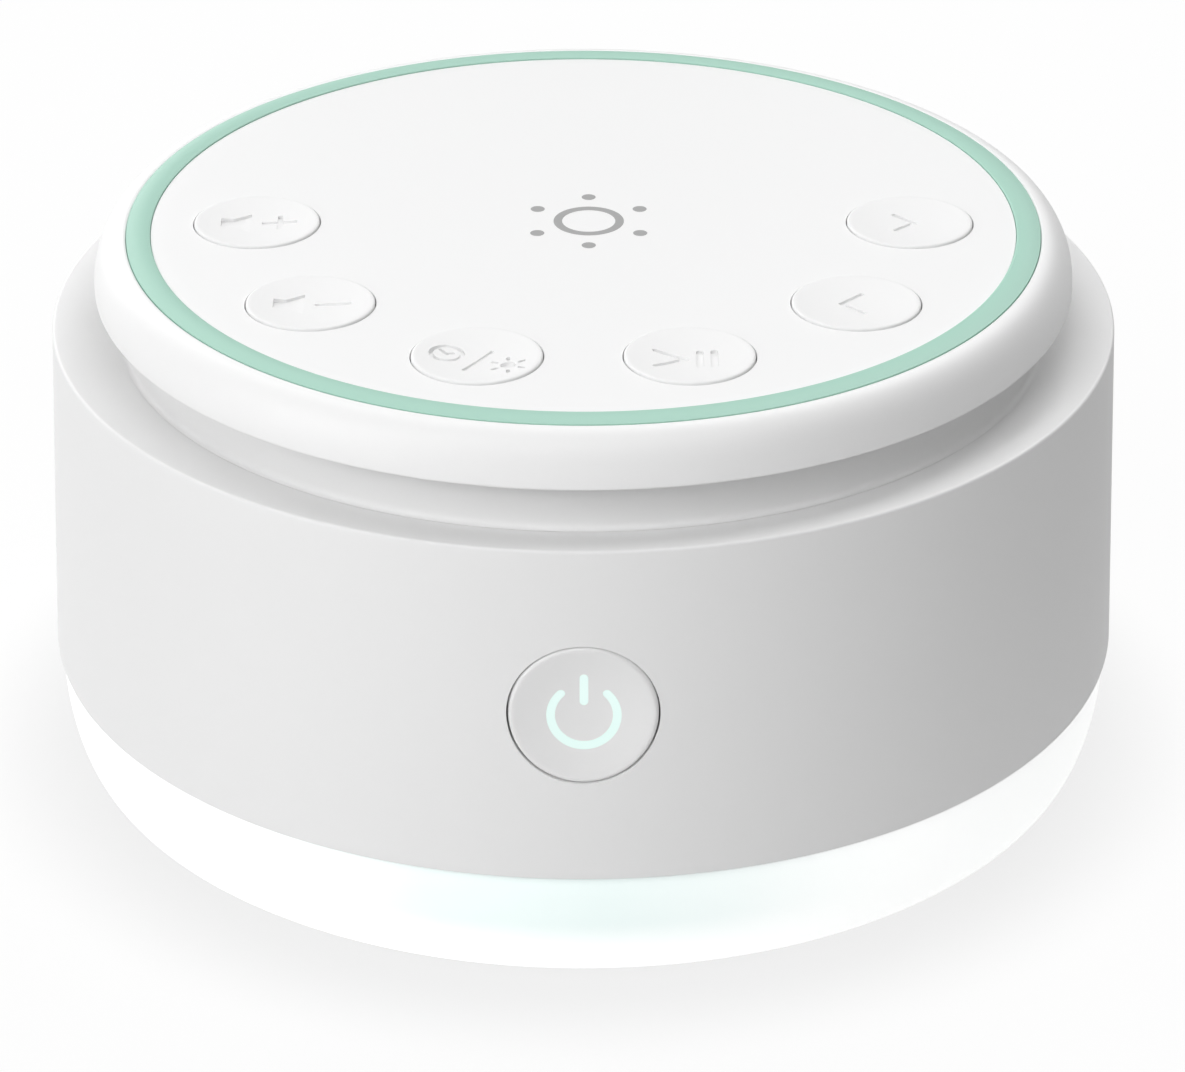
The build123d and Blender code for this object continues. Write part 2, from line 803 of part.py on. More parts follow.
window_z = spider_z + basket_wall / 2
window_h = frame_z - spider_z - basket_wall
with BuildPart() as speaker_basket:
    with BuildSketch(Plane.XZ):
        with BuildLine():
            Polyline((frame_r, speaker_top_z), (frame_r, frame_z),
                     (basket_in_r + basket_shoulder_w, frame_z),
                     (basket_floor_r, spider_z - basket_wall / 2), (basket_floor_r, basket_z),
                     (basket_floor_hole_r, basket_z), (basket_floor_hole_r, basket_floor_z),
                     (spider_shelf_r, basket_floor_z), (spider_shelf_r, spider_z),
                     (basket_floor_r - basket_wall, spider_z), (basket_in_r, frame_z),
                     (basket_in_r, speaker_top_z), close=True)
        make_face()
    revolve(axis=Axis.Z)
    with BuildSketch(Plane.XY.offset(window_z)):
        with PolarLocations((basket_floor_r + basket_in_r) / 2, window_count):
            Rectangle(basket_in_r - basket_floor_r + 2 * window_lap, window_w)
    extrude(amount=window_h, mode=Mode.SUBTRACT)
    with BuildSketch(Plane.XY.offset(frame_z)):
        with Locations(*ear_spots):
            Circle(ear_r)
        Circle(frame_r - frame_t, mode=Mode.SUBTRACT)
    extrude(amount=frame_t)
    with BuildSketch(Plane.XY.offset(frame_z)):
        with Locations(*ear_spots):
            Circle(small_screw_r + screw_clearance)
    extrude(amount=frame_t, mode=Mode.SUBTRACT)
save(speaker_basket, "speaker_basket")

speaker_screws = screws_at(Plane.XY.offset(frame_z), ear_spots, small_head_r, small_head_h,
                           small_screw_r,
                           frame_t + gasket_t + speaker_pilot_l - screw_tip_gap)
save(speaker_screws, "speaker_screws")

# ---------------------------------------------------------------------------
# Loudspeaker motor: back plate with pole, ring magnet, top plate.
# ---------------------------------------------------------------------------
with BuildPart() as speaker_pole:
    with BuildSketch(Plane.XY.offset(back_plate_z)):
        Circle(back_plate_r)
    extrude(amount=back_plate_t)
    with BuildSketch(Plane.XY.offset(magnet_z)):
        Circle(pole_r)
    extrude(amount=basket_z - magnet_z)
save(speaker_pole, "speaker_pole")

with BuildPart() as speaker_magnet:
    with BuildSketch(Plane.XY.offset(magnet_z)):
        Circle(magnet_r)
        Circle(magnet_hole_r, mode=Mode.SUBTRACT)
    extrude(amount=magnet_h)
save(speaker_magnet, "speaker_magnet")

with BuildPart() as speaker_top_plate:
    with BuildSketch(Plane.XY.offset(top_plate_z)):
        Circle(top_plate_r)
        Circle(top_plate_hole_r, mode=Mode.SUBTRACT)
    extrude(amount=top_plate_t)
save(speaker_top_plate, "speaker_top_plate")

# ---------------------------------------------------------------------------
# Loudspeaker's moving parts: voice coil on its former, paper cone, dust cap.
# ---------------------------------------------------------------------------
with BuildPart() as voice_coil:
    with BuildSketch(Plane.XY.offset(winding_z - former_tail)):
        Circle(former_r)
        Circle(former_in_r, mode=Mode.SUBTRACT)
    extrude(amount=cone_neck_z + former_t - winding_z + former_tail)
    with BuildSketch(Plane.XY.offset(winding_z)):
        Circle(winding_r)
        Circle(former_in_r, mode=Mode.SUBTRACT)
    extrude(amount=winding_h)
save(voice_coil, "voice_coil")

with BuildPart() as speaker_cone:
    with BuildSketch(Plane.XZ):
        with BuildLine():
            Polyline((cone_r, speaker_top_z), (cone_r, speaker_top_z - cone_lip_t),
                     (cone_r - cone_lip + cone_lip_t, speaker_top_z - cone_lip_t),
                     (former_r, cone_neck_z - cone_t), (former_r, cone_neck_z),
                     (cone_r - cone_lip, speaker_top_z), close=True)
        make_face()
    revolve(axis=Axis.Z)
save(speaker_cone, "speaker_cone")

cone_rise = cone_depth / (cone_r - cone_lip - former_r)
dust_cap_z = cone_neck_z + (dust_cap_r - former_r) * cone_rise
dome_r = (dust_cap_r ** 2 + dust_cap_h ** 2) / (2 * dust_cap_h)
dome_centre_z = dust_cap_z + dust_cap_h - dome_r
dome_in_r = dome_r - dust_cap_t
dome_foot_r = sqrt(dome_in_r ** 2 - (dust_cap_z - dome_centre_z) ** 2)


def dome_point(sphere_r, r):
    """A point at radius r on a sphere about the dust cap's centre."""
    return (r, dome_centre_z + sqrt(sphere_r ** 2 - r ** 2))


with BuildPart() as dust_cap:
    with BuildSketch(Plane.XZ):
        with BuildLine():
            ThreePointArc((dust_cap_r, dust_cap_z), dome_point(dome_r, dust_cap_r / 2),
                          dome_point(dome_r, 0))
            Line(dome_point(dome_r, 0), dome_point(dome_in_r, 0))
            ThreePointArc(dome_point(dome_in_r, 0), dome_point(dome_in_r, dome_foot_r / 2),
                          (dome_foot_r, dust_cap_z))
            Line((dome_foot_r, dust_cap_z), (dust_cap_r, dust_cap_z))
        make_face()
    revolve(axis=Axis.Z)
save(dust_cap, "dust_cap")

# ---------------------------------------------------------------------------
# Loudspeaker suspension: the corrugated spider and the half-roll surround.
# ---------------------------------------------------------------------------
spider_r = basket_floor_r - basket_wall - spider_gap
wave_in_r = former_r + spider_neck_w
wave_step = (spider_shelf_r - wave_in_r) / (2 * spider_waves)
spider_line = [(former_r, spider_z)]
for i in range(2 * spider_waves + 1):
    spider_line.append((wave_in_r + wave_step * i, spider_z + spider_wave * (i % 2)))
spider_line.append((spider_r, spider_z))
with BuildPart() as speaker_spider:
    with BuildSketch(Plane.XZ):
        with BuildLine():
            Polyline(*spider_line, *[(r, z + spider_t) for r, z in reversed(spider_line)],
                     close=True)
        make_face()
    revolve(axis=Axis.Z)
save(speaker_spider, "speaker_spider")

roll_mid_r = (cone_r + roll_r) / 2
surround_top_z = speaker_top_z + surround_t
with BuildPart() as speaker_surround:
    with BuildSketch(Plane.XZ):
        with BuildLine():
            Line((cone_r - cone_lip, speaker_top_z), (cone_r, speaker_top_z))
            ThreePointArc((cone_r, speaker_top_z), (roll_mid_r, speaker_top_z + surround_roll_h),
                          (roll_r, speaker_top_z))
            Polyline((roll_r, speaker_top_z), (surround_r, speaker_top_z),
                     (surround_r, surround_top_z), (roll_r, surround_top_z))
            ThreePointArc((roll_r, surround_top_z),
                          (roll_mid_r, surround_top_z + surround_roll_h),
                          (cone_r, surround_top_z))
            Polyline((cone_r, surround_top_z), (cone_r - cone_lip, surround_top_z),
                     (cone_r - cone_lip, speaker_top_z))
        make_face()
    revolve(axis=Axis.Z)
save(speaker_surround, "speaker_surround")

# ---------------------------------------------------------------------------
# Power button: follows the flared wall, hollow behind, with a flange that
# stops it in its seat. The light pipe of its mark fills slots in its face.
# ---------------------------------------------------------------------------
with BuildSketch(Plane.XZ) as drum_profile:
    with BuildLine():
        Polyline((0, body_z), (0, body_top_z), (body_top_r, body_top_z),
                 (body_bottom_r, body_z), close=True)
    make_face()
power_flange_y = power_seat_y + power_flange_t
power_roof_y = power_front_y + power_face_t

with BuildPart() as power_mark:
    with BuildSketch(facing_front(power_roof_y)):
        with BuildLine(mode=Mode.PRIVATE) as mark_arc:
            CenterArc((0, -mark_drop), mark_r, 90 + mark_open, 360 - 2 * mark_open)
        SlotArc(mark_arc.wire(), mark_stroke)
        with Locations((0, (mark_bar_low + mark_bar_high) / 2 - mark_drop)):
            SlotCenterToCenter(mark_bar_high - mark_bar_low, mark_stroke, rotation=90)
    extrude(amount=power_face_t + shell_wall)
    revolve(drum_profile.sketch, axis=Axis.Z, mode=Mode.INTERSECT)
save(power_mark, "power_mark")

with BuildPart() as power_button:
    with BuildSketch(facing_front(power_seat_y)):
        Circle(power_r)
    extrude(amount=power_seat_depth + shell_wall)
    revolve(drum_profile.sketch, axis=Axis.Z, mode=Mode.INTERSECT)
    chamfer(power_button.faces().sort_by(Axis.Y)[0].edges(), power_edge)
    with BuildSketch(facing_front(power_flange_y)):
        Circle(power_r + power_flange_w)
    extrude(amount=power_flange_t)
    with BuildSketch(facing_front(power_flange_y)):
        Circle(power_r - power_wall)
    extrude(amount=power_flange_y - power_roof_y, mode=Mode.SUBTRACT)
    with BuildSketch(facing_front(power_stem_y)):
        Circle(power_stem_r)
    extrude(amount=power_stem_y - power_roof_y)
    add(power_mark.part, mode=Mode.SUBTRACT)
save(power_button, "power_button")

with BuildPart() as power_board:
    with BuildSketch(facing_front(power_board_y + power_board_t)):
        Rectangle(power_board_w, power_board_h)
        with Locations(*power_post_spots):
            Circle(small_screw_r + screw_clearance, mode=Mode.SUBTRACT)
    extrude(amount=power_board_t)
save(power_board, "power_board")

power_board_screws = screws_at(facing_front(power_board_y + power_board_t), power_post_spots,
                               small_head_r, small_head_h, small_screw_r,
                               power_board_t + power_post_l - shell_wall / 2 - screw_tip_gap)
save(power_board_screws, "power_board_screws")

with BuildPart() as power_switch:
    with BuildSketch(facing_front(power_board_y)):
        Rectangle(power_switch_w, power_switch_w)
    extrude(amount=power_switch_h)
    with BuildSketch(facing_front(power_switch_y)):
        Circle(power_plunger_r + plunger_play)
    extrude(amount=-power_plunger_sunk - power_travel - plunger_play, mode=Mode.SUBTRACT)
save(power_switch, "power_switch")

with BuildPart() as power_plunger:
    with BuildSketch(facing_front(power_switch_y + power_plunger_sunk)):
        Circle(power_plunger_r)
    extrude(amount=power_plunger_sunk + power_plunger_proud)
save(power_plunger, "power_plunger")

with BuildPart() as power_led:
    with BuildSketch(facing_front(power_board_y)):
        with Locations((0, -power_led_drop)):
            Rectangle(power_led_w, power_led_h)
    extrude(amount=power_led_t)
save(power_led, "power_led")

# ---------------------------------------------------------------------------
# Cap base: a flange on the collar, a well for the key board, posts down to the
# baffle, and a low cone that turns the sound outwards.
# ---------------------------------------------------------------------------
upstand_r = flange_r - upstand_w + rim_gap
well_out_r = well_r + well_wall
cap_pilot_l = well_floor_top_z + cap_boss_h - cap_boss_roof_t - crease_z
board_pilot_l = key_board_post_h + cap_floor_t / 2
rest_spots = [polar(well_r - key_board_rest_inset, a) for a in key_board_rest_angles]
with BuildPart() as cap_base:
    with BuildSketch(Plane.XZ):
        with BuildLine():
            Polyline((0, well_floor_z - deflector_h), (deflector_r, well_floor_z),
                     (well_out_r, well_floor_z), (well_out_r, collar_top_z),
                     (flange_r, collar_top_z), (flange_r, flange_top_z),
                     (upstand_r, flange_top_z), (upstand_r, upstand_z),
                     (upstand_r - upstand_w, upstand_z), (upstand_r - upstand_w, flange_top_z),
                     (well_r, flange_top_z), (well_r, well_floor_top_z), (0, well_floor_top_z),
                     close=True)
        make_face()
    revolve(axis=Axis.Z)
    with BuildSketch(Plane.XY.offset(crease_z)):
        with Locations(*cap_spots):
            Circle(cap_post_r)
    extrude(amount=well_floor_top_z + cap_boss_h - crease_z)
    with BuildSketch(Plane.XY.offset(crease_z)):
        with Locations(*cap_spots):
            Circle(screw_r + screw_play)
    extrude(amount=cap_pilot_l, mode=Mode.SUBTRACT)
    with BuildSketch(Plane.XY.offset(well_floor_top_z)):
        with Locations(*key_board_spots):
            Circle(small_screw_r + screw_play + base_boss_wall)
        with Locations(*rest_spots):
            Circle(rest_post_r)
    extrude(amount=key_board_post_h)
    with BuildSketch(Plane.XY.offset(key_board_z)):
        with Locations(*key_board_spots):
            Circle(small_screw_r + screw_play)
    extrude(amount=-board_pilot_l, mode=Mode.SUBTRACT)
    with BuildSketch(Plane.XY.offset(well_floor_top_z)):
        with Locations((0, ribbon_y)):
            Rectangle(ribbon_slot_w, ribbon_slot_t)
    extrude(amount=-cap_floor_t, mode=Mode.SUBTRACT)
save(cap_base, "cap_base")

cap_screws = screws_at(Plane.XY.offset(baffle_z), cap_spots, screw_head_r, screw_head_h,
                       screw_r, baffle_t + cap_pilot_l - screw_tip_gap)
save(cap_screws, "cap_screws")

# ---------------------------------------------------------------------------
# Cap rim: an elliptical outer curve over a plain lower edge, with an inner
# shelf for the panel and the accent ring.
# ---------------------------------------------------------------------------
skirt_z = collar_top_z + rim_skirt_h
with BuildPart() as cap_rim:
    with BuildSketch(Plane.XZ):
        with BuildLine():
            Polyline((rim_crown_r, rim_crown_z), (rim_crown_r, shelf_z), (shelf_in_r, shelf_z),
                     (shelf_in_r, upstand_z), (rim_wall_r, upstand_z),
                     (rim_wall_r, collar_top_z), (rim_r, collar_top_z), (rim_r, skirt_z))
            EllipticalCenterArc((rim_crown_r, skirt_z), rim_r - rim_crown_r, rim_crown_h, 0,
                                arc_size=90)
        make_face()
    revolve(axis=Axis.Z)
save(cap_rim, "cap_rim")

accent_top_z = panel_top_z + accent_proud
with BuildPart() as accent_ring:
    with BuildSketch(Plane.XZ):
        with BuildLine():
            Polyline((accent_in_r, shelf_z), (accent_r, shelf_z),
                     (accent_r, accent_top_z - accent_slope), (accent_in_r, accent_top_z),
                     close=True)
        make_face()
    revolve(axis=Axis.Z)
save(accent_ring, "accent_ring")

with BuildPart() as top_panel:
    with BuildSketch(Plane.XY.offset(shelf_z)):
        Circle(panel_r)
        with Locations(*key_spots):
            Circle(key_r + key_gap, mode=Mode.SUBTRACT)
    extrude(amount=panel_t)
save(top_panel, "top_panel")

# ---------------------------------------------------------------------------
# Key board with its screws, the touch pad of conductive foam under the middle
# of the panel, and six square switches.
# ---------------------------------------------------------------------------
with BuildPart() as key_board:
    with BuildSketch(Plane.XY.offset(key_board_z)):
        Circle(key_board_r)
        with Locations(*key_board_spots):
            Circle(small_screw_r + screw_clearance, mode=Mode.SUBTRACT)
    extrude(amount=key_board_t)
save(key_board, "key_board")

key_board_screws = screws_at(facing_down(key_board_top_z), mirrored(key_board_spots),
                             small_head_r, small_head_h, small_screw_r,
                             key_board_t + board_pilot_l - screw_tip_gap)
save(key_board_screws, "key_board_screws")

with BuildPart() as touch_pad:
    with BuildSketch(Plane.XY.offset(key_board_top_z)):
        Circle(touch_pad_r)
    extrude(amount=shelf_z - key_board_top_z)
save(touch_pad, "touch_pad")

with BuildPart() as key_switches:
    with BuildSketch(Plane.XY.offset(key_board_top_z)):
        with Locations(*key_spots):
            Rectangle(switch_w, switch_w)
    extrude(amount=switch_h)
    with BuildSketch(Plane.XY.offset(switch_top_z)):
        with Locations(*key_spots):
            Circle(plunger_r + plunger_play)
    extrude(amount=-plunger_sunk - key_travel - plunger_play, mode=Mode.SUBTRACT)
save(key_switches, "key_switches")

# ---------------------------------------------------------------------------
# Keys: hollow caps with a dished face, a flange that stops under the panel and
# a stem that rests on the switch's plunger.
# ---------------------------------------------------------------------------
key_in_r = key_r - key_wall
key_flange_r = key_r + key_flange_w
key_flange_z = shelf_z - key_flange_t
face_r = key_r - key_edge
for name, (x, y) in zip(key_names, key_spots):
    with BuildPart() as key:
        with BuildSketch(Plane(origin=(x, y, 0), x_dir=(1, 0, 0), z_dir=(0, -1, 0))):
            with BuildLine():
                TangentArc((0, key_top_z - key_dish), (face_r, key_top_z), tangent=(1, 0))
                Polyline((face_r, key_top_z), (key_r, key_top_z - key_edge), (key_r, shelf_z),
                         (key_flange_r, shelf_z), (key_flange_r, key_flange_z),
                         (key_in_r, key_flange_z), (key_in_r, key_roof_z),
                         (key_stem_r, key_roof_z), (key_stem_r, plunger_top_z),
                         (0, plunger_top_z), (0, key_top_z - key_dish))
            make_face()
        revolve(axis=Axis((x, y, 0), (0, 0, 1)))
    save(key, f"key_{name}")

    with BuildPart() as plunger:
        with BuildSketch(Plane.XY.offset(switch_top_z - plunger_sunk)):
            with Locations((x, y)):
                Circle(plunger_r)
        extrude(amount=plunger_sunk + plunger_proud)
    save(plunger, f"plunger_{name}")

# ---------------------------------------------------------------------------
# Ribbon cable, straight down from the key board to the main board, between
# its two connectors.
# ---------------------------------------------------------------------------
lower_connector_z = board_top_z + connector_h
upper_connector_z = key_board_z - connector_h
with BuildPart() as ribbon_connectors:
    with BuildSketch(Plane.XY.offset(board_top_z), Plane.XY.offset(upper_connector_z)):
        with Locations((0, ribbon_y)):
            Rectangle(connector_w, connector_d)
    extrude(amount=connector_h)
save(ribbon_connectors, "ribbon_connectors")

with BuildPart() as ribbon_cable:
    with BuildSketch(Plane.XY.offset(lower_connector_z)):
        with Locations((0, ribbon_y)):
            Rectangle(ribbon_w, ribbon_t)
    extrude(amount=upper_connector_z - lower_connector_z)
save(ribbon_cable, "ribbon_cable")
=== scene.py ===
from math import atan, cos, degrees, hypot, pi, radians, sin

import bpy
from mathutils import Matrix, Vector


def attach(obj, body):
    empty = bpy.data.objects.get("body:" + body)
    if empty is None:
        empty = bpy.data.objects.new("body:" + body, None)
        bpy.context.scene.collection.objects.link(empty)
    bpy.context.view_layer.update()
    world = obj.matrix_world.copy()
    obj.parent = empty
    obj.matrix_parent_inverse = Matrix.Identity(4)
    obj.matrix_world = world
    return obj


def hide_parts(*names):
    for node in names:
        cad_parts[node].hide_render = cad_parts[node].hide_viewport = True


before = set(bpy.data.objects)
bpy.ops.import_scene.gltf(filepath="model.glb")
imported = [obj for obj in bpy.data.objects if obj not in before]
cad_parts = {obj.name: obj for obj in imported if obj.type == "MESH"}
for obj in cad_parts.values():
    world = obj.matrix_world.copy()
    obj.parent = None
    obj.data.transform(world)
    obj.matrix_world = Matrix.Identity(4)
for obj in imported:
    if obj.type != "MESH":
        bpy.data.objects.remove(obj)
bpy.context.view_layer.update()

# ---------------------------------------------------------------------------
# Light ring: a frosted opal PMMA moulding, clamped between the base plate and
# the body. White LEDs above it shine down into it and make it glow white; a
# darker mint tint on its upper front, under the body's edge, is painted shade.
# ---------------------------------------------------------------------------
mm = 0.001  # sizes are in millimetres, and Blender takes metres


def turned(name, rings, sides=256, closed=True):
    """A turned form: a circle drawn up through rings of radius and height in mm, then closed."""
    bpy.ops.object.select_all(action="DESELECT")
    radius, height = rings[0]
    bpy.ops.mesh.primitive_circle_add(vertices=sides, radius=radius * mm)
    piece = bpy.context.object
    piece.name = name
    bpy.ops.object.mode_set(mode="EDIT")
    bpy.ops.mesh.select_all(action="SELECT")
    bpy.ops.transform.translate(value=(0, 0, height * mm))
    for r, z in rings[1:]:
        bpy.ops.mesh.extrude_region_move(
            TRANSFORM_OT_translate={"value": (0, 0, (z - height) * mm)})
        bpy.ops.transform.resize(value=(r / radius, r / radius, 1),
                                 center_override=(0, 0, 0))
        radius, height = r, z
    bpy.ops.object.mode_set(mode="OBJECT")
    if closed:
        close(piece)
    return piece


def close(piece):
    """Merges seams, fills open ends and turns every face outwards."""
    bpy.context.view_layer.objects.active = piece
    bpy.ops.object.mode_set(mode="EDIT")
    bpy.ops.mesh.select_all(action="SELECT")
    bpy.ops.mesh.remove_doubles(threshold=0.0005 * mm)
    bpy.ops.mesh.fill_holes(sides=0)
    bpy.ops.mesh.select_all(action="SELECT")
    bpy.ops.mesh.normals_make_consistent(inside=False)
    bpy.ops.object.mode_set(mode="OBJECT")


def quarter(r, z, width, height, first, last, count):
    """Points on an ellipse about (r, z), from one angle to another in degrees."""
    angles = [radians(first + (last - first) * i / count) for i in range(count + 1)]
    return [(r + width * cos(a), z + height * sin(a)) for a in angles]


def eased(a, corner, b, count=4):
    """Points that round a corner off between a and b."""
    steps = [i / count for i in range(count + 1)]
    return [tuple((1 - t) ** 2 * p + 2 * t * (1 - t) * q + t ** 2 * s
                  for p, q, s in zip(a, corner, b)) for t in steps]


def linear(code):
    """The linear colour of an sRGB hex value."""
    parts = [int(code[i:i + 2], 16) / 255 for i in (0, 2, 4)]
    return [c / 12.92 if c <= 0.04045 else ((c + 0.055) / 1.055) ** 2.4 for c in parts] + [1]


def new_material(name):
    """A node material with nothing in it yet."""
    made = bpy.data.materials.new(name)
    made.use_nodes = True
    made.node_tree.nodes.clear()
    return made


def add(finish, kind, sockets, **settings):
    """Adds a node; each socket takes a value, or a link from another node's output."""
    node = finish.node_tree.nodes.new(kind)
    for key, value in settings.items():
        setattr(node, key, value)
    for key, value in sockets.items():
        if isinstance(value, bpy.types.NodeSocket):
            finish.node_tree.links.new(value, node.inputs[key])
        else:
            node.inputs[key].default_value = value
    return node


def fit(piece, finish, body, slot, *nodes):
    """Gives a finished piece its shading, material and body, and hides the CAD nodes
    it stands in for. The slot is not used.
    """
    bpy.ops.object.select_all(action="DESELECT")
    piece.select_set(True)
    bpy.context.view_layer.objects.active = piece
    bpy.ops.object.shade_smooth_by_angle(angle=radians(28))
    piece.data.materials.clear()
    piece.data.materials.append(finish)
    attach(piece, body)
    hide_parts(*nodes)


ring_r = 50.5
ring_edge = 0.1
ring_foot = (44.8, 0.8)
ring_ledge_z = 2.0
ring_lip_z = 13.4
body_foot_z = 12.3
body_mouth_r = 48.8
# Its section: foot and ledge, hollow, lip in the body's mouth, rounded edge and bulge.
ring_profile = [ring_foot, (44.8, ring_ledge_z), (42.6, ring_ledge_z), (42.6, 3.6)]
ring_profile += quarter(45.0, 10.3, 3.5, 6.7, -90, 0, 12)
ring_profile += [(47.2, 11.8), (47.2, ring_lip_z), (48.6, ring_lip_z), (48.6, body_foot_z),
                 (ring_r - ring_edge, body_foot_z)]
ring_profile += eased((ring_r - ring_edge, body_foot_z), (ring_r, body_foot_z),
                      (ring_r, body_foot_z - ring_edge))[1:]
ring_profile += quarter(47.0, 11.3, 3.5, 10.5, 0, -90, 40)
ring_profile += [ring_foot]
light_ring = turned("light_ring", ring_profile)

# Frosted opal PMMA, lit from inside: the surface is satin, and what reaches the
# eye is the glow. Painted shade tints it a darker mint, so it is whiter towards the
# table: the tint sets in 3.5 mm up, is full at 7 mm, and stays in front, mostly on the left.
opal = new_material("frosted_opal_pmma")
place = add(opal, "ShaderNodeTexCoord", {})
axes = add(opal, "ShaderNodeSeparateXYZ", {"Vector": place.outputs["Object"]})
rise = add(opal, "ShaderNodeMapRange",
           {"Value": axes.outputs["Z"], "From Min": 3.5 * mm, "From Max": 7.0 * mm})
front = add(opal, "ShaderNodeMapRange",
            {"Value": axes.outputs["Y"], "From Min": -40 * mm, "From Max": -48.5 * mm})
side = add(opal, "ShaderNodeMapRange",
           {"Value": axes.outputs["X"], "From Min": 32 * mm, "From Max": 2 * mm})
# Painted shade: the upper front, mostly on the left, is mixed to a darker mint.
upper_front = add(opal, "ShaderNodeMath", {0: rise.outputs[0], 1: front.outputs[0]},
                  operation="MULTIPLY")
painted_shade_patch = add(opal, "ShaderNodeMath", {0: upper_front.outputs[0], 1: side.outputs[0]},
           operation="MULTIPLY")
glow_and_painted_shade = add(opal, "ShaderNodeMixRGB",
           {"Fac": painted_shade_patch.outputs[0], "Color1": linear("FFFFFF"), "Color2": linear("A5C5C2")})
opal_face = add(opal, "ShaderNodeBsdfPrincipled",
                {"Base Color": linear("F2F4F3"), "Roughness": 0.42, "IOR": 1.49,
                 "Emission Color": glow_and_painted_shade.outputs[0], "Emission Strength": 0.45})
add(opal, "ShaderNodeOutputMaterial", {"Surface": opal_face.outputs[0]})
fit(light_ring, opal, "housing", "opal_lamp", "light_diffuser")

# ---------------------------------------------------------------------------
# Base plate and feet: an injection-moulded ABS disc with a spark-eroded grain,
# and four silicone rubber discs glued into its recesses over the base screws.
# ---------------------------------------------------------------------------


def toned(code, share):
    """The linear colour of an sRGB hex value, made paler or darker by a share."""
    return [min(1.0, c * share) for c in linear(code)[:3]] + [1]


def moulded(name, colour, roughness, grain, depth):
    """Moulded plastic: even colour, and the fine grain that a spark-eroded tool leaves."""
    made = new_material(name)
    place = add(made, "ShaderNodeTexCoord", {})
    specks = add(made, "ShaderNodeTexNoise",
                 {"Vector": place.outputs["Object"], "Scale": 1 / (grain * mm), "Detail": 3.0})
    flow = add(made, "ShaderNodeTexNoise",
               {"Vector": place.outputs["Object"], "Scale": 1 / (30 * mm), "Detail": 1.0})
    tone = add(made, "ShaderNodeMixRGB",
               {"Fac": flow.outputs["Fac"], "Color1": linear(colour),
                "Color2": toned(colour, 1.015)})
    gloss = add(made, "ShaderNodeMapRange",
                {"Value": specks.outputs["Fac"], "To Min": roughness - 0.04,
                 "To Max": roughness + 0.04})
    relief = add(made, "ShaderNodeBump",
                 {"Height": specks.outputs["Fac"], "Strength": 1.0, "Distance": depth * mm})
    face = add(made, "ShaderNodeBsdfPrincipled",
               {"Base Color": tone.outputs[0], "Roughness": gloss.outputs[0], "IOR": 1.52,
                "Normal": relief.outputs["Normal"]})
    add(made, "ShaderNodeOutputMaterial", {"Surface": face.outputs[0]})
    return made


def dress(finish, *nodes):
    """Gives CAD nodes their material."""
    for name in nodes:
        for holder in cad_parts[name].material_slots:
            holder.material = finish


# Grained ABS, a shade darker than the body: the eye sees a soft, even white.
dress(moulded("grained_white_abs", "E4E4E4", 0.55, 0.5, 0.004), "base_plate")
# Silicone rubber: matt, slightly warm, with a fine bloom.
dress(moulded("pale_silicone_rubber", "D9D9D6", 0.75, 0.4, 0.003), "rubber_feet")

# ---------------------------------------------------------------------------
# Body shell: one injection moulding in satin white ABS, a slightly flared drum
# with a dished top. Screw posts inside tie it to the chassis plate, and a round
# bore in the front wall guides the power button.
# ---------------------------------------------------------------------------
body_top_z = 44.65
body_foot_r = 51.0
body_top_r = 50.0
dish_edge_r, dish_edge_z = 49.61, 44.564
baffle_z, baffle_foot_z = 43.15, 40.95
groove_in_r, groove_out_r, groove_z = 41.04, 43.10, 42.15
grille_r, opening_r = 25.7, 24.5
power_z = 28.7
power_front_y = -50.493
power_bore_r = 6.76


def cut(piece, cutter, operation="DIFFERENCE"):
    """Cuts one form out of another and clears the cutter away."""
    tool = piece.modifiers.new("cut", "BOOLEAN")
    tool.object = cutter
    tool.operation = operation
    tool.solver = "EXACT"
    bpy.context.view_layer.objects.active = piece
    bpy.ops.object.modifier_apply(modifier=tool.name)
    bpy.data.objects.remove(cutter)


def place_mesh(piece, location=(0, 0, 0), turn=(0, 0, 0)):
    """Turns and moves a form by degrees and millimetres, and leaves its origin at zero."""
    bpy.ops.object.select_all(action="DESELECT")
    piece.select_set(True)
    bpy.context.view_layer.objects.active = piece
    piece.rotation_euler = [radians(a) for a in turn]
    piece.location = [v * mm for v in location]
    bpy.ops.object.transform_apply(location=True, rotation=True, scale=True)


def join(name, *pieces):
    """Joins forms into one piece."""
    bpy.ops.object.select_all(action="DESELECT")
    for piece in pieces:
        piece.select_set(True)
    bpy.context.view_layer.objects.active = pieces[0]
    bpy.ops.object.join()
    pieces[0].name = name
    return pieces[0]


def copied(piece, name):
    """A copy with a mesh of its own."""
    twin = piece.copy()
    twin.name = name
    twin.data = piece.data.copy()
    bpy.context.collection.objects.link(twin)
    return twin


def wall_r(z):
    """The body's outer radius at a height."""
    share = (z - body_foot_z) / (body_top_z - body_foot_z)
    return body_foot_r - (body_foot_r - body_top_r) * share


def block(name, size):
    """A block of a size in mm about the origin."""
    bpy.ops.object.select_all(action="DESELECT")
    bpy.ops.mesh.primitive_cube_add(size=1)
    piece = bpy.context.object
    piece.name = name
    piece.scale = [v * mm for v in size]
    return piece


def tube(name, bore_r, outer_r, low, high, sides):
    """A turned tube, closed at both ends."""
    return turned(name, [(bore_r, low), (outer_r, low), (outer_r, high), (bore_r, high),
                         (bore_r, low)], sides)


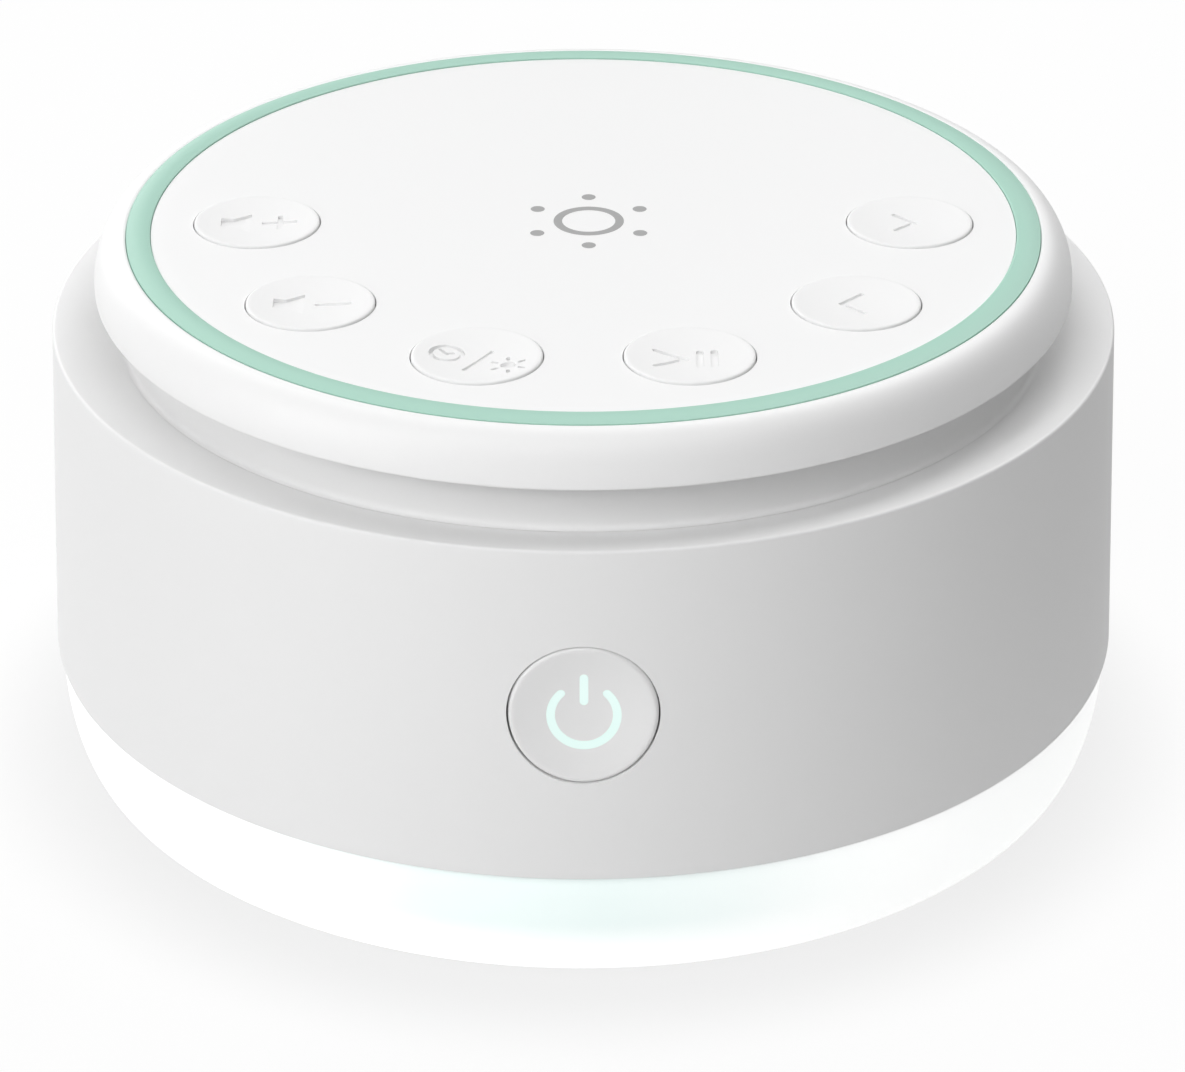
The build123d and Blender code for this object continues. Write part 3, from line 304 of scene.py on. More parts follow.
# Its section: foot, flared wall, rounded edge, dish, the collar's groove, the baffle
# with the grille's step round the loudspeaker's opening, and the wall's inside.
body_profile = [(body_mouth_r, body_foot_z), (50.88, body_foot_z)]
body_profile += eased((50.88, body_foot_z), (body_foot_r, body_foot_z), (50.996, 12.42), 3)[1:]
body_profile += [(wall_r(z), z) for z in [12.9 + 1.575 * i for i in range(20)]]
body_profile += eased((wall_r(44.25), 44.25), (body_top_r, body_top_z),
                      (dish_edge_r, dish_edge_z), 6)
body_profile += [(dish_edge_r - 0.92 * i, dish_edge_z - 0.202 * i) for i in range(1, 7)]
body_profile += [(groove_out_r, baffle_z), (groove_out_r, groove_z), (groove_in_r, groove_z),
                 (groove_in_r, baffle_z)]
body_profile += [(grille_r, baffle_z), (grille_r, groove_z), (opening_r, groove_z),
                 (opening_r, baffle_foot_z)]
body_profile += [(47.914, baffle_foot_z), (body_mouth_r, body_foot_z)]
body_drum = turned("body_drum", body_profile, sides=384)

bore = turned("bore", [(power_bore_r, 40.0), (power_bore_r, 56.0)], sides=128)
place_mesh(bore, (0, 0, power_z), (90, 0, 0))
cut(body_drum, bore)

# The charging opening in the rear wall, with rounded ends.
usb_opening_w, usb_opening_h, usb_corner_r, usb_z = 9.38, 3.7, 1.8, 19.43
usb_cutter = block("usb_cutter", (usb_opening_w, 12, usb_opening_h))
place_mesh(usb_cutter, (0, 50, usb_z))
bpy.ops.object.mode_set(mode="EDIT")
bpy.ops.mesh.select_all(action="DESELECT")
bpy.ops.object.mode_set(mode="OBJECT")
for edge in usb_cutter.data.edges:
    ends = [usb_cutter.data.vertices[i].co for i in edge.vertices]
    edge.select = abs(ends[0].y - ends[1].y) > mm
bpy.ops.object.mode_set(mode="EDIT")
bpy.ops.mesh.select_mode(type="EDGE")
bpy.ops.mesh.bevel(offset=usb_corner_r * mm, segments=12, affect="EDGES")
bpy.ops.mesh.select_mode(type="VERT")
bpy.ops.object.mode_set(mode="OBJECT")
cut(body_drum, usb_cutter)

# Behind the wall: the button's seat and two short posts for its board, and four long
# posts for the chassis plate. The posts are bored for screws.
board_post_x = 11.3
seat = tube("seat", power_bore_r, 8.6, 47.3, 49.4, 128)
place_mesh(seat, (0, 0, power_z), (90, 0, 0))
left_post = tube("left_post", 0.8, 2.2, 43.4, 48.6, 48)
right_post = copied(left_post, "right_post")
place_mesh(left_post, (-board_post_x, 0, power_z), (90, 0, 0))
place_mesh(right_post, (board_post_x, 0, power_z), (90, 0, 0))
chassis_post_pitch_r = 44.2
long_post = tube("long_post", 1.05, 3.2, 14.6, 41.0, 48)
long_posts = [long_post] + [copied(long_post, "long_post") for _ in range(3)]
for i, post in enumerate(long_posts):
    angle = radians(45 + 90 * i)
    place_mesh(post, (chassis_post_pitch_r * cos(angle), chassis_post_pitch_r * sin(angle), 0))
body_drum = join("body_drum", body_drum, seat, left_post, right_post, *long_posts)

# Satin ABS from a fine spark-eroded tool: light spreads softly over it, and only
# the edges catch a line of light. The grain is drawn at 0.3 mm so that it shows.
white_abs = moulded("satin_white_abs", "EDEDED", 0.5, 0.3, 0.0016)
fit(body_drum, white_abs, "housing", "body_abs", "body_shell")

# ---------------------------------------------------------------------------
# Sound collar: a moulded ABS neck let into a groove of the dish, with a small
# flared lip that covers the joint. Sound leaves through notches in its upper
# edge, in the shadow of the cap.
# ---------------------------------------------------------------------------
neck_bore_r, neck_r = 41.07, 43.07
neck_top_z = 48.4
neck_mid_r = (neck_bore_r + neck_r) / 2
outlet_count = 24
outlet_angle = 8.5
outlet_w = 2 * neck_r * sin(radians(outlet_angle / 2))
outlet_h = 1.2
# Its section: the foot in the groove, the flared lip, the wall and the bore.
neck_profile = [(neck_bore_r, groove_z), (neck_r, groove_z), (neck_r, 43.16), (43.74, 43.3)]
neck_profile += eased((43.75, 43.33), (neck_r, 43.19), (neck_r, 43.9), 8)
neck_profile += [(neck_r, 43.9 + 0.45 * i) for i in range(1, 11)]
neck_profile += [(neck_bore_r, neck_top_z), (neck_bore_r, groove_z)]
neck = turned("neck", neck_profile, sides=384)
tooth = block("tooth", (4, outlet_w, 2 * outlet_h))
teeth = [tooth] + [copied(tooth, "tooth") for _ in range(outlet_count - 1)]
for i, tooth in enumerate(teeth):
    angle = 360 / outlet_count * i
    place_mesh(tooth, (neck_mid_r * cos(radians(angle)), neck_mid_r * sin(radians(angle)),
                       neck_top_z), (0, 0, angle))
cut(neck, join("teeth", *teeth))
fit(neck, white_abs, "housing", "body_abs", "sound_collar")

# ---------------------------------------------------------------------------
# Cap rim: a moulded ABS ring with an elliptical shoulder that hides the sound
# outlets. A shelf inside it carries the accent ring and the panel.
# ---------------------------------------------------------------------------
rim_r, rim_bore_r = 45.9, 42.82
rim_foot_z = 48.4
shelf_z, shelf_foot_z, shelf_r = 51.5, 50.4, 38.8
# Its section: the bore round the accent ring, the shelf, the skirt and the shoulder.
rim_profile = [(rim_bore_r, 53.1), (rim_bore_r, shelf_z), (shelf_r, shelf_z),
               (shelf_r, shelf_foot_z), (43.8, shelf_foot_z)]
rim_profile += [(43.8, rim_foot_z), (45.7, rim_foot_z)]
rim_profile += eased((45.7, rim_foot_z), (rim_r, rim_foot_z), (rim_r, 48.6))[1:]
rim_profile += quarter(42.95, 48.8, 2.95, 4.45, 0, 88, 44)
rim_profile += eased((43.0, 53.24), (42.86, 53.22), (rim_bore_r, 53.1))
cap_edge = turned("cap_edge", rim_profile, sides=384)
# The same satin ABS in the cap's brighter white.
cap_white = moulded("satin_bright_white_abs", "F4F4F4", 0.45, 0.3, 0.0012)
fit(cap_edge, cap_white, "housing", "cap_abs", "cap_rim")

# ---------------------------------------------------------------------------
# Accent ring: a narrow ring moulded in mint ABS and pressed in between the rim
# and the panel, standing a little proud, so a fine shadow line follows it.
# ---------------------------------------------------------------------------
accent_bore_r, accent_r = 40.52, 42.77
crest_r, crest_z = 41.35, 53.5
crown = 0.12
# Its section: a flat foot on the shelf, straight sides and a crowned top.
accent_profile = [(accent_bore_r, shelf_z), (accent_r, shelf_z), (accent_r, 53.27)]
accent_profile += [(r, crest_z - crown * (r - crest_r) ** 2)
                   for r in [42.7 - 0.18 * i for i in range(12)]]
accent_profile += [(40.56, 53.42), (accent_bore_r, 53.39), (accent_bore_r, shelf_z)]
mint_ring = turned("mint_ring", accent_profile, sides=384)
# Coloured ABS, satin: the mint reads flat and chalky, with little gloss.
mint = moulded("satin_mint_abs", "A7D1C1", 0.5, 0.3, 0.001)
fit(mint_ring, mint, "housing", "accent_abs", "accent_ring")

# ---------------------------------------------------------------------------
# Top panel: a flat moulded ABS disc with six round openings for the keys. A
# printed sun in its middle marks the touch spot for the lamp.
# ---------------------------------------------------------------------------
key_angles = {"volume_up": -180, "volume_down": -144, "timer": -108, "play": -72,
              "previous": -36, "next": 0}
key_pitch_r = 30.6
key_spots = {name: (key_pitch_r * cos(radians(a)), key_pitch_r * sin(radians(a)))
             for name, a in key_angles.items()}
panel_r, panel_z, panel_edge = 40.48, 53.3, 0.08
key_hole_r, key_hole_rim_r = 5.99, 6.05
panel_profile = [(39.0, shelf_z), (panel_r, shelf_z), (panel_r, panel_z - panel_edge)]
panel_profile += eased((panel_r, panel_z - panel_edge), (panel_r, panel_z),
                       (panel_r - panel_edge, panel_z))[1:]
panel_profile += [(39.0, panel_z)]
panel_disc = turned("panel_disc", panel_profile, sides=384)
hole = turned("hole", [(key_hole_r, 51.0), (key_hole_r, 53.27), (key_hole_rim_r, 53.34),
                       (key_hole_rim_r, 54.0)], sides=96)
holes = [hole] + [copied(hole, "hole") for _ in range(len(key_spots) - 1)]
for hole, (x, y) in zip(holes, key_spots.values()):
    place_mesh(hole, (x, y, 0))
cut(panel_disc, join("holes", *holes))
fit(panel_disc, cap_white, "housing", "cap_abs", "top_panel")


def stroke(points, width):
    """The outline of a stroke along points, with round ends."""
    way = [Vector(p) for p in points]
    left, right = [], []
    for i, p in enumerate(way):
        a = way[max(i - 1, 0)]
        b = way[min(i + 1, len(way) - 1)]
        before = (p - a).normalized() if i else (b - p).normalized()
        after = (b - p).normalized() if i < len(way) - 1 else before
        normal = Vector((-(before.y + after.y), before.x + after.x)).normalized()
        reach = width / 2 / max(0.3, normal.dot(Vector((-before.y, before.x))))
        left.append(p + normal * reach)
        right.append(p - normal * reach)
    caps = []
    for tip, edge in ((way[-1], left[-1]), (way[0], right[0])):
        start = edge - tip
        caps.append([tip + Vector((start.x * cos(t) + start.y * sin(t),
                                   start.y * cos(t) - start.x * sin(t)))
                     for t in [pi * i / 10 for i in range(1, 10)]])
    return left + caps[0] + right[::-1] + caps[1]


def arc(x, y, radius, first, last, count):
    """Points along an arc, from one angle to another in degrees."""
    angles = [radians(first + (last - first) * i / count) for i in range(count + 1)]
    return [(x + radius * cos(a), y + radius * sin(a)) for a in angles]


def drawn(name, loops, low, high):
    """A flat drawing of closed loops, given its thickness and made a mesh."""
    shape = bpy.data.curves.new(name, "CURVE")
    shape.dimensions = "2D"
    shape.fill_mode = "BOTH"
    shape.extrude = (high - low) / 2 * mm
    for loop in loops:
        spline = shape.splines.new("POLY")
        spline.points.add(len(loop) - 1)
        for point, (x, y) in zip(spline.points, loop):
            point.co = (x * mm, y * mm, 0, 1)
        spline.use_cyclic_u = True
    piece = bpy.data.objects.new(name, shape)
    bpy.context.collection.objects.link(piece)
    bpy.ops.object.select_all(action="DESELECT")
    piece.select_set(True)
    bpy.context.view_layer.objects.active = piece
    bpy.ops.object.convert(target="MESH")
    piece = bpy.context.object
    place_mesh(piece, (0, 0, (low + high) / 2))
    close(piece)
    return piece


sun_x, sun_y = 0.5, 0.4
ray_pitch_r, ray_r = 5.55, 0.66
print_low_z, print_top_z = 53.28, 53.315
sun_loops = [arc(sun_x, sun_y, r, 0, 360, 96)[:-1] for r in (3.3, 2.5)]
for i in range(6):
    dot = arc(sun_x, sun_y, ray_pitch_r, 30 + 60 * i, 30 + 60 * i, 1)[0]
    sun_loops.append(arc(*dot, ray_r, 0, 360, 32)[:-1])
sun_print = drawn("sun_print", sun_loops, print_low_z, print_top_z)
# Pad-printed ink: flat mid grey, a touch duller than the panel.
ink = moulded("grey_pad_print_ink", "A3A3A3", 0.6, 0.2, 0.0004)
fit(sun_print, ink, "housing", "cap_abs")

# ---------------------------------------------------------------------------
# Push keys: six hollow ABS caps with dished faces, held under the panel by a
# flange, each on the plunger of its switch. Their signs are sunk in the tool.
# ---------------------------------------------------------------------------
# The signs, in mm from the key's middle; the clock and the small lamp share one key.
speaker_sign = [(-3.4, -0.65), (-2.2, -0.65), (-0.6, -1.9), (-0.6, 2.25), (-2.2, 1.15),
                (-3.4, 1.15)]
plus_sign = [(0.45, 0.1), (1.87, 0.08), (1.89, -1.15), (2.35, -1.15), (2.37, 0.08), (3.75, 0.1),
             (3.75, 0.6), (2.37, 0.62), (2.35, 1.85), (1.89, 1.85), (1.87, 0.62), (0.45, 0.6)]
clock_ring = [arc(-2.7, 0.8, r, 0, 360, 48)[:-1] for r in (1.62, 1.2)]
clock_hands = stroke([(-3.3, 1.5), (-2.65, 0.7), (-2.1, 0.9)], 0.34)
lamp_sign = [arc(2.8, -1.7, 0.7, 0, 360, 32)[:-1]]
lamp_sign += [stroke([arc(2.8, -1.7, 1.15, a, a, 1)[0], arc(2.8, -1.7, 1.6, a, a, 1)[0]], 0.34)
              for a in range(30, 390, 60)]
signs = {
    "volume_up": [speaker_sign, plus_sign],
    "volume_down": [speaker_sign, stroke([(0.6, 0.15), (3.5, 0.15)], 0.5)],
    "timer": clock_ring + [clock_hands, stroke([(-1.1, -2.55), (1.35, 1.3)], 0.4)] + lamp_sign,
    "play": [stroke([(-3.1, 1.4), (-0.45, -0.2), (-3.1, -1.8)], 0.5),
             stroke([(0.9, 1.2), (0.9, -1.7)], 0.7), stroke([(2.2, 1.2), (2.2, -1.7)], 0.7)],
    "previous": [stroke([(0.6, 2.25), (-1.3, 0.35), (0.6, -1.65)], 0.5)],
    "next": [stroke([(-1.35, 2.05), (0.45, 0.4), (-1.35, -1.3)], 0.5)],
}
key_r, key_face_r = 5.88, 5.62
key_flange_r, key_flange_foot_z = 6.9, 50.9
key_hollow_r, key_hollow_z = 4.9, 52.2
key_boss_r, key_boss_foot_z = 1.4, 51.7
key_top_z = 53.5
key_dish = 0.42
dish_rings = 18
sign_floor_z = 52.88
key_profile = [(key_face_r * i / dish_rings, key_top_z - key_dish * (1 - (i / dish_rings) ** 2))
               for i in range(1, dish_rings + 1)]
key_profile += eased((key_face_r, key_top_z), (key_r, key_top_z), (key_r, 53.25))[1:]
key_profile += [(key_r, shelf_z), (key_flange_r, shelf_z), (key_flange_r, key_flange_foot_z),
                (key_hollow_r, key_flange_foot_z), (key_hollow_r, key_hollow_z),
                (key_boss_r, key_hollow_z), (key_boss_r, key_boss_foot_z)]
# The keys' own tool is blasted coarser, so that they feel dry: hardly any gloss.
key_white = moulded("blasted_white_abs", "F0F0F0", 0.6, 0.3, 0.002)
blank_key = turned("blank_key", key_profile, sides=96)
for name, (x, y) in key_spots.items():
    push_key = copied(blank_key, "push_key_" + name)
    cut(push_key, drawn("sign", signs[name], sign_floor_z, 54))
    place_mesh(push_key, (x, y, 0))
    fit(push_key, key_white, "key_" + name, "key_abs", "key_" + name)
bpy.data.objects.remove(blank_key)

# ---------------------------------------------------------------------------
# Power button: an ABS cap that follows the drum's wall, with a dished face, a
# rounded edge and a flange behind the wall. A clear polycarbonate light pipe
# fills the slots of its mark, flush with the face.
# ---------------------------------------------------------------------------
power_r, power_face_r = 6.7, 6.25
power_flange_r, power_hollow_r, power_boss_r = 7.6, 5.5, 1.7
power_dish = 0.9
power_dish_rings = 20
face_rings = [(power_face_r * i / power_dish_rings,
               -power_dish * (1 - (i / power_dish_rings) ** 2))
              for i in range(1, power_dish_rings + 1)]
face_rings += eased((power_face_r, 0), (6.6, 0.02), (power_r, -0.42), 7)[1:]
power_key = turned("power_key", face_rings, sides=128, closed=False)
place_mesh(power_key, turn=(90, 0, 0))
bend = power_key.modifiers.new("bend", "SIMPLE_DEFORM")
bend.deform_method = "BEND"
bend.deform_axis = "Z"
bend.angle = 2 * power_r / -power_front_y
bpy.context.view_layer.objects.active = power_key
bpy.ops.object.modifier_apply(modifier=bend.name)
lean = -degrees(atan((body_foot_r - body_top_r) / (body_top_z - body_foot_z)))
place_mesh(power_key, (0, power_front_y, power_z), (lean, 0, 0))
# From the open outer edge of the face back: side, flange, hollow and boss.
bpy.ops.object.mode_set(mode="EDIT")
bpy.ops.mesh.select_all(action="DESELECT")
bpy.ops.mesh.select_non_manifold()
bpy.ops.object.mode_set(mode="OBJECT")
for v in power_key.data.vertices:
    v.select = v.select and hypot(v.co.x, v.co.z - power_z * mm) > mm
for edge in power_key.data.edges:
    edge.select = all(power_key.data.vertices[i].select for i in edge.vertices)
bpy.ops.object.mode_set(mode="EDIT")
radius = power_r
for r, depth in [(power_r, 3.2), (power_flange_r, 3.2), (power_flange_r, 4.2),
                 (power_hollow_r, 4.2), (power_hollow_r, 1.4), (power_boss_r, 1.4),
                 (power_boss_r, 4.5)]:
    bpy.ops.mesh.extrude_region_move(TRANSFORM_OT_translate={"value": (0, 0, 0)})
    bpy.ops.transform.resize(value=(r / radius, 1, r / radius),
                             center_override=(0, 0, power_z * mm))
    back = (0, (power_front_y + depth) * mm, power_z * mm)
    bpy.ops.transform.resize(value=(1, 0, 1), center_override=back)
    radius = r
bpy.ops.object.mode_set(mode="OBJECT")
close(power_key)

mark_x, mark_z, mark_r, mark_line = 0.05, -0.3, 2.92, 0.75
mark_gap = 44
pipe_depth = 2.2
mark_ring = stroke(arc(mark_x, mark_z, mark_r, 90 + mark_gap, 450 - mark_gap, 64), mark_line)
mark_bar = stroke([(mark_x, 1.0), (mark_x, 3.4)], mark_line)
power_glow = copied(power_key, "power_glow")
for piece, operation in ((power_key, "DIFFERENCE"), (power_glow, "INTERSECT")):
    mark = drawn("mark", [mark_ring, mark_bar], -pipe_depth, 1)
    place_mesh(mark, (0, power_front_y, power_z), (90 + lean, 0, 0))
    cut(piece, mark, operation)
# The same satin ABS as the body, from a slightly smoother tool.
button_abs = moulded("satin_button_abs", "EDEDED", 0.42, 0.3, 0.001)
fit(power_key, button_abs, "power_button", "key_abs", "power_button")

# Clear polycarbonate over a white LED: an even mint-white glow.
glow_pc = new_material("lit_polycarbonate")
place = add(glow_pc, "ShaderNodeTexCoord", {})
spread = add(glow_pc, "ShaderNodeTexNoise",
             {"Vector": place.outputs["Object"], "Scale": 1 / (4 * mm), "Detail": 0.0})
mint_white = add(glow_pc, "ShaderNodeMixRGB",
                 {"Fac": spread.outputs["Fac"], "Color1": linear("E2FAF4"),
                  "Color2": linear("ECFDFA")})
lens = add(glow_pc, "ShaderNodeBsdfPrincipled",
           {"Base Color": linear("7F918C"), "Roughness": 0.3, "IOR": 1.58,
            "Emission Color": mint_white.outputs[0], "Emission Strength": 0.74})
add(glow_pc, "ShaderNodeOutputMaterial", {"Surface": lens.outputs[0]})
fit(power_glow, glow_pc, "power_button", "mark_lens", "power_mark")

# ---------------------------------------------------------------------------
# Chassis plate, cap base and loudspeaker grille: plain ABS mouldings that carry
# the parts inside. They keep the coarse texture of an unpolished tool.
# ---------------------------------------------------------------------------
# Unpolished ABS: a duller and greyer white than the outside.
dress(moulded("plain_inner_abs", "D9D9D6", 0.62, 0.6, 0.006),
      "chassis_plate", "cap_base", "speaker_grille")

# ---------------------------------------------------------------------------
# Screws: self-tapping, with pan heads, cold-headed from steel wire and zinc plated.
# They are driven into the bores of the moulded posts.
# ---------------------------------------------------------------------------


def metal(name, colour, roughness, grain, lines=(1, 1, 1), depth=0.002):
    """Metal whose gloss wanders along the lines that its making left."""
    made = new_material(name)
    place = add(made, "ShaderNodeTexCoord", {})
    along = add(made, "ShaderNodeMapping", {"Vector": place.outputs["Object"], "Scale": lines})
    streaks = add(made, "ShaderNodeTexNoise",
                  {"Vector": along.outputs[0], "Scale": 1 / (grain * mm), "Detail": 4.0})
    tone = add(made, "ShaderNodeMixRGB",
               {"Fac": streaks.outputs["Fac"], "Color1": toned(colour, 0.86),
                "Color2": linear(colour)})
    gloss = add(made, "ShaderNodeMapRange",
                {"Value": streaks.outputs["Fac"], "To Min": roughness - 0.08,
                 "To Max": roughness + 0.08})
    relief = add(made, "ShaderNodeBump",
                 {"Height": streaks.outputs["Fac"], "Strength": 1.0, "Distance": depth * mm})
    face = add(made, "ShaderNodeBsdfPrincipled",
               {"Base Color": tone.outputs[0], "Metallic": 1.0, "Roughness": gloss.outputs[0],
                "Normal": relief.outputs["Normal"]})
    add(made, "ShaderNodeOutputMaterial", {"Surface": face.outputs[0]})
    return made


# Zinc plating: a soft grey shine, a little cloudy.
dress(metal("zinc_plated_steel", "C6C9CC", 0.36, 0.5), "base_screws", "chassis_screws",
      "board_screws", "speaker_screws", "power_board_screws", "cap_screws", "key_board_screws")

# ---------------------------------------------------------------------------
# Circuit boards: glass-epoxy laminate, routed and drilled, with etched copper
# lanes under the solder mask. Screws hold them to posts of the mouldings.
# ---------------------------------------------------------------------------


def laminate(name, mask, lanes):
    """Solder mask over etched copper, whose lanes show as paler lines."""
    made = new_material(name)
    place = add(made, "ShaderNodeTexCoord", {})
    copper_lanes = add(made, "ShaderNodeTexBrick",
                       {"Vector": place.outputs["Object"], "Scale": 1 / mm,
                        "Color1": linear(mask), "Color2": linear(mask), "Mortar": linear(lanes),
                        "Mortar Size": 0.12, "Brick Width": 3.4, "Row Height": 0.9})
    weave = add(made, "ShaderNodeTexNoise",
                {"Vector": place.outputs["Object"], "Scale": 1 / (0.5 * mm), "Detail": 2.0})
    relief = add(made, "ShaderNodeBump",
                 {"Height": weave.outputs["Fac"], "Strength": 1.0, "Distance": 0.002 * mm})
    face = add(made, "ShaderNodeBsdfPrincipled",
               {"Base Color": copper_lanes.outputs["Color"], "Roughness": 0.32, "IOR": 1.55,
                "Normal": relief.outputs["Normal"]})
    add(made, "ShaderNodeOutputMaterial", {"Surface": face.outputs[0]})
    return made


# Green mask: glossy, with the copper a shade paler beneath it.
dress(laminate("green_solder_mask", "1B5A36", "2C7A4A"), "main_board", "power_board", "key_board")
# White mask on the lamp board throws the LEDs' light back into the ring.
dress(laminate("white_solder_mask", "ECECEA", "E0E2DE"), "lamp_board")

# ---------------------------------------------------------------------------
# Parts on the boards: chips and switches in black epoxy and nylon, cream nylon
# sockets, LEDs of clear resin over yellow phosphor, all soldered in place.
# ---------------------------------------------------------------------------
# Moulded epoxy: near black, matt, faintly speckled by its filler.
dress(moulded("black_moulded_epoxy", "222224", 0.5, 0.25, 0.003),
      "board_chips", "usb_tongue", "power_switch", "key_switches")
# Black nylon plungers shine a little where the caps rub on them.
dress(moulded("black_nylon", "2C2C2D", 0.38, 0.4, 0.001), "power_plunger",
      *["plunger_" + name for name in key_spots])
# Undyed nylon: a warm cream that lets some light through.
dress(moulded("cream_nylon", "E6E1D2", 0.42, 0.4, 0.001), "lead_sockets", "ribbon_connectors")

resin = new_material("led_resin")
place = add(resin, "ShaderNodeTexCoord", {})
grains = add(resin, "ShaderNodeTexNoise",
             {"Vector": place.outputs["Object"], "Scale": 1 / (0.3 * mm), "Detail": 2.0})
phosphor = add(resin, "ShaderNodeMixRGB",
               {"Fac": grains.outputs["Fac"], "Color1": linear("F2E48A"),
                "Color2": linear("FBF6CF")})
led_face = add(resin, "ShaderNodeBsdfPrincipled",
               {"Base Color": phosphor.outputs[0], "Roughness": 0.18, "IOR": 1.53,
                "Emission Color": linear("FFF9E6"), "Emission Strength": 0.4})
add(resin, "ShaderNodeOutputMaterial", {"Surface": led_face.outputs[0]})
dress(resin, "lamp_leds", "power_led")

# ---------------------------------------------------------------------------
# Charging socket: a USB-C receptacle, its shell drawn from stainless sheet and
# soldered to the main board behind the opening in the rear wall.
# ---------------------------------------------------------------------------
# Drawn stainless sheet: bright, with fine draw lines from front to back.
dress(metal("drawn_stainless_steel", "D2D2D4", 0.26, 0.15, (1, 0.06, 1), 0.001), "usb_socket")

# ---------------------------------------------------------------------------
# Rechargeable cell: a lithium pouch in laminated foil, folded and heat-sealed round
# its edge. Two strips of foam tape hold it down on the chassis plate.
# ---------------------------------------------------------------------------
# Aluminium laminate: dull silver, creased where the foil was folded in.
dress(metal("laminated_pouch_foil", "D4D5D8", 0.42, 6.0, (1, 1, 1), 0.12), "battery_cell")


def cellular(name, colour, cell):
    """Closed-cell foam: small cut-open bubbles, matt, with painted shade darkening them inside.
    """
    made = new_material(name)
    place = add(made, "ShaderNodeTexCoord", {})
    bubbles = add(made, "ShaderNodeTexVoronoi",
                  {"Vector": place.outputs["Object"], "Scale": 1 / (cell * mm)})
    # Painted shade: the middle of each bubble, its deepest part, is darker.
    tone = add(made, "ShaderNodeMixRGB",
               {"Fac": bubbles.outputs["Distance"], "Color1": toned(colour, 0.6),
                "Color2": linear(colour)})
    relief = add(made, "ShaderNodeBump",
                 {"Height": bubbles.outputs["Distance"], "Strength": 1.0, "Distance": 0.08 * mm})
    face = add(made, "ShaderNodeBsdfPrincipled",
               {"Base Color": tone.outputs[0], "Roughness": 0.92,
                "Normal": relief.outputs["Normal"]})
    add(made, "ShaderNodeOutputMaterial", {"Surface": face.outputs[0]})
    return made


# Black foam of the tape, the loudspeaker's gasket and the pad under the sun mark.
dress(cellular("black_closed_cell_foam", "333334", 0.35),
      "battery_tape", "speaker_gasket", "touch_pad")

# ---------------------------------------------------------------------------
# Loudspeaker: a 50 mm full-range driver, screwed up against the baffle. Basket
# and magnet plates are pressed steel, and the coil hangs in the magnet's gap.
# ---------------------------------------------------------------------------
# Black electrocoat on pressed steel: even and slightly glossy.
dress(moulded("black_electrocoat", "242425", 0.38, 0.5, 0.002), "speaker_basket")
# Zinc-plated magnet plates, with the marks of the lathe round their axis.
dress(metal("zinc_plated_magnet_steel", "BEC2C6", 0.34, 0.4, (1, 1, 4)),
      "speaker_pole", "speaker_top_plate")
# Ground ferrite: a dense dark grey ceramic, matt and faintly grainy.
dress(moulded("ground_ferrite", "3C3C40", 0.7, 0.3, 0.01), "speaker_magnet")
# Soft rubber of the surround: smooth, black, with a dull sheen. It is one moulding,
# in two pieces here: the roll stays with the basket and the lip rides on the cone.
surround_rubber = moulded("black_surround_rubber", "29292A", 0.55, 0.8, 0.002)
rubber_low_z, rubber_top_z = 40.45, 40.75
surround_r, bead_r, bead_foot_z = 23.6, 19.62, 40.15
roll_mid_r, roll_bend_r = 21.25, 2.102
roll_profile = [(bead_r, bead_foot_z), (19.88, bead_foot_z)]
roll_profile += quarter(roll_mid_r, 39.148, roll_bend_r, roll_bend_r, 130.7, 38.3, 20)
roll_profile += [(surround_r, rubber_low_z), (surround_r, rubber_top_z)]
roll_profile += quarter(roll_mid_r, 39.448, roll_bend_r, roll_bend_r, 38.3, 130.7, 20)
roll_profile += [(bead_r, 41.04), (bead_r, bead_foot_z)]
surround_roll = turned("surround_roll", roll_profile, sides=192)
fit(surround_roll, surround_rubber, "housing", "surround_rubber", "speaker_surround")
surround_lip = tube("surround_lip", 18.4, 19.6, rubber_low_z, rubber_top_z, 192)
fit(surround_lip, surround_rubber, "speaker_cone", "surround_rubber")


def banded(name, dark, pale, pitch, ways, roughness, metallic=0.0):
    """Threads or wires side by side, as crossing or single bands of light and dark."""
    made = new_material(name)
    place = add(made, "ShaderNodeTexCoord", {})
    bands = [add(made, "ShaderNodeTexWave",
                 {"Vector": place.outputs["Object"], "Scale": 0.314 / (pitch * mm)},
                 bands_direction=way).outputs["Fac"] for way in ways]
    weave = add(made, "ShaderNodeMath", {0: bands[0], 1: bands[-1]}, operation="MAXIMUM")
    tone = add(made, "ShaderNodeMixRGB",
               {"Fac": weave.outputs[0], "Color1": linear(dark), "Color2": linear(pale)})
    relief = add(made, "ShaderNodeBump",
                 {"Height": weave.outputs[0], "Strength": 1.0, "Distance": 0.05 * mm})
    face = add(made, "ShaderNodeBsdfPrincipled",
               {"Base Color": tone.outputs[0], "Roughness": roughness, "Metallic": metallic,
                "Normal": relief.outputs["Normal"]})
    add(made, "ShaderNodeOutputMaterial", {"Surface": face.outputs[0]})
    return made


# Enamelled copper wire, wound in turns one above another; drawn at 0.3 mm.
dress(banded("enamelled_copper_wire", "8A4522", "D08A5C", 0.3, "Z", 0.3, 1.0), "voice_coil")
# Resin-stiffened cotton: an amber plain weave.
dress(banded("resin_stiffened_cotton", "9A7336", "C9A25E", 0.7, "XY", 0.8), "speaker_spider")
# Pressed pulp: black, matt, with short fibres caught in the surface.
dress(moulded("pressed_black_pulp", "2B2B2B", 0.88, 0.7, 0.03), "speaker_cone", "dust_cap")

# ---------------------------------------------------------------------------
# Ribbon cable: flat polyester film with printed lanes, from the main board up
# beside the loudspeaker to the key board.
# ---------------------------------------------------------------------------
# Milky film with eight pale lanes at 1 mm.
dress(banded("polyester_ribbon_film", "B9BBC0", "E9EAEC", 1.0, "X", 0.3), "ribbon_cable")
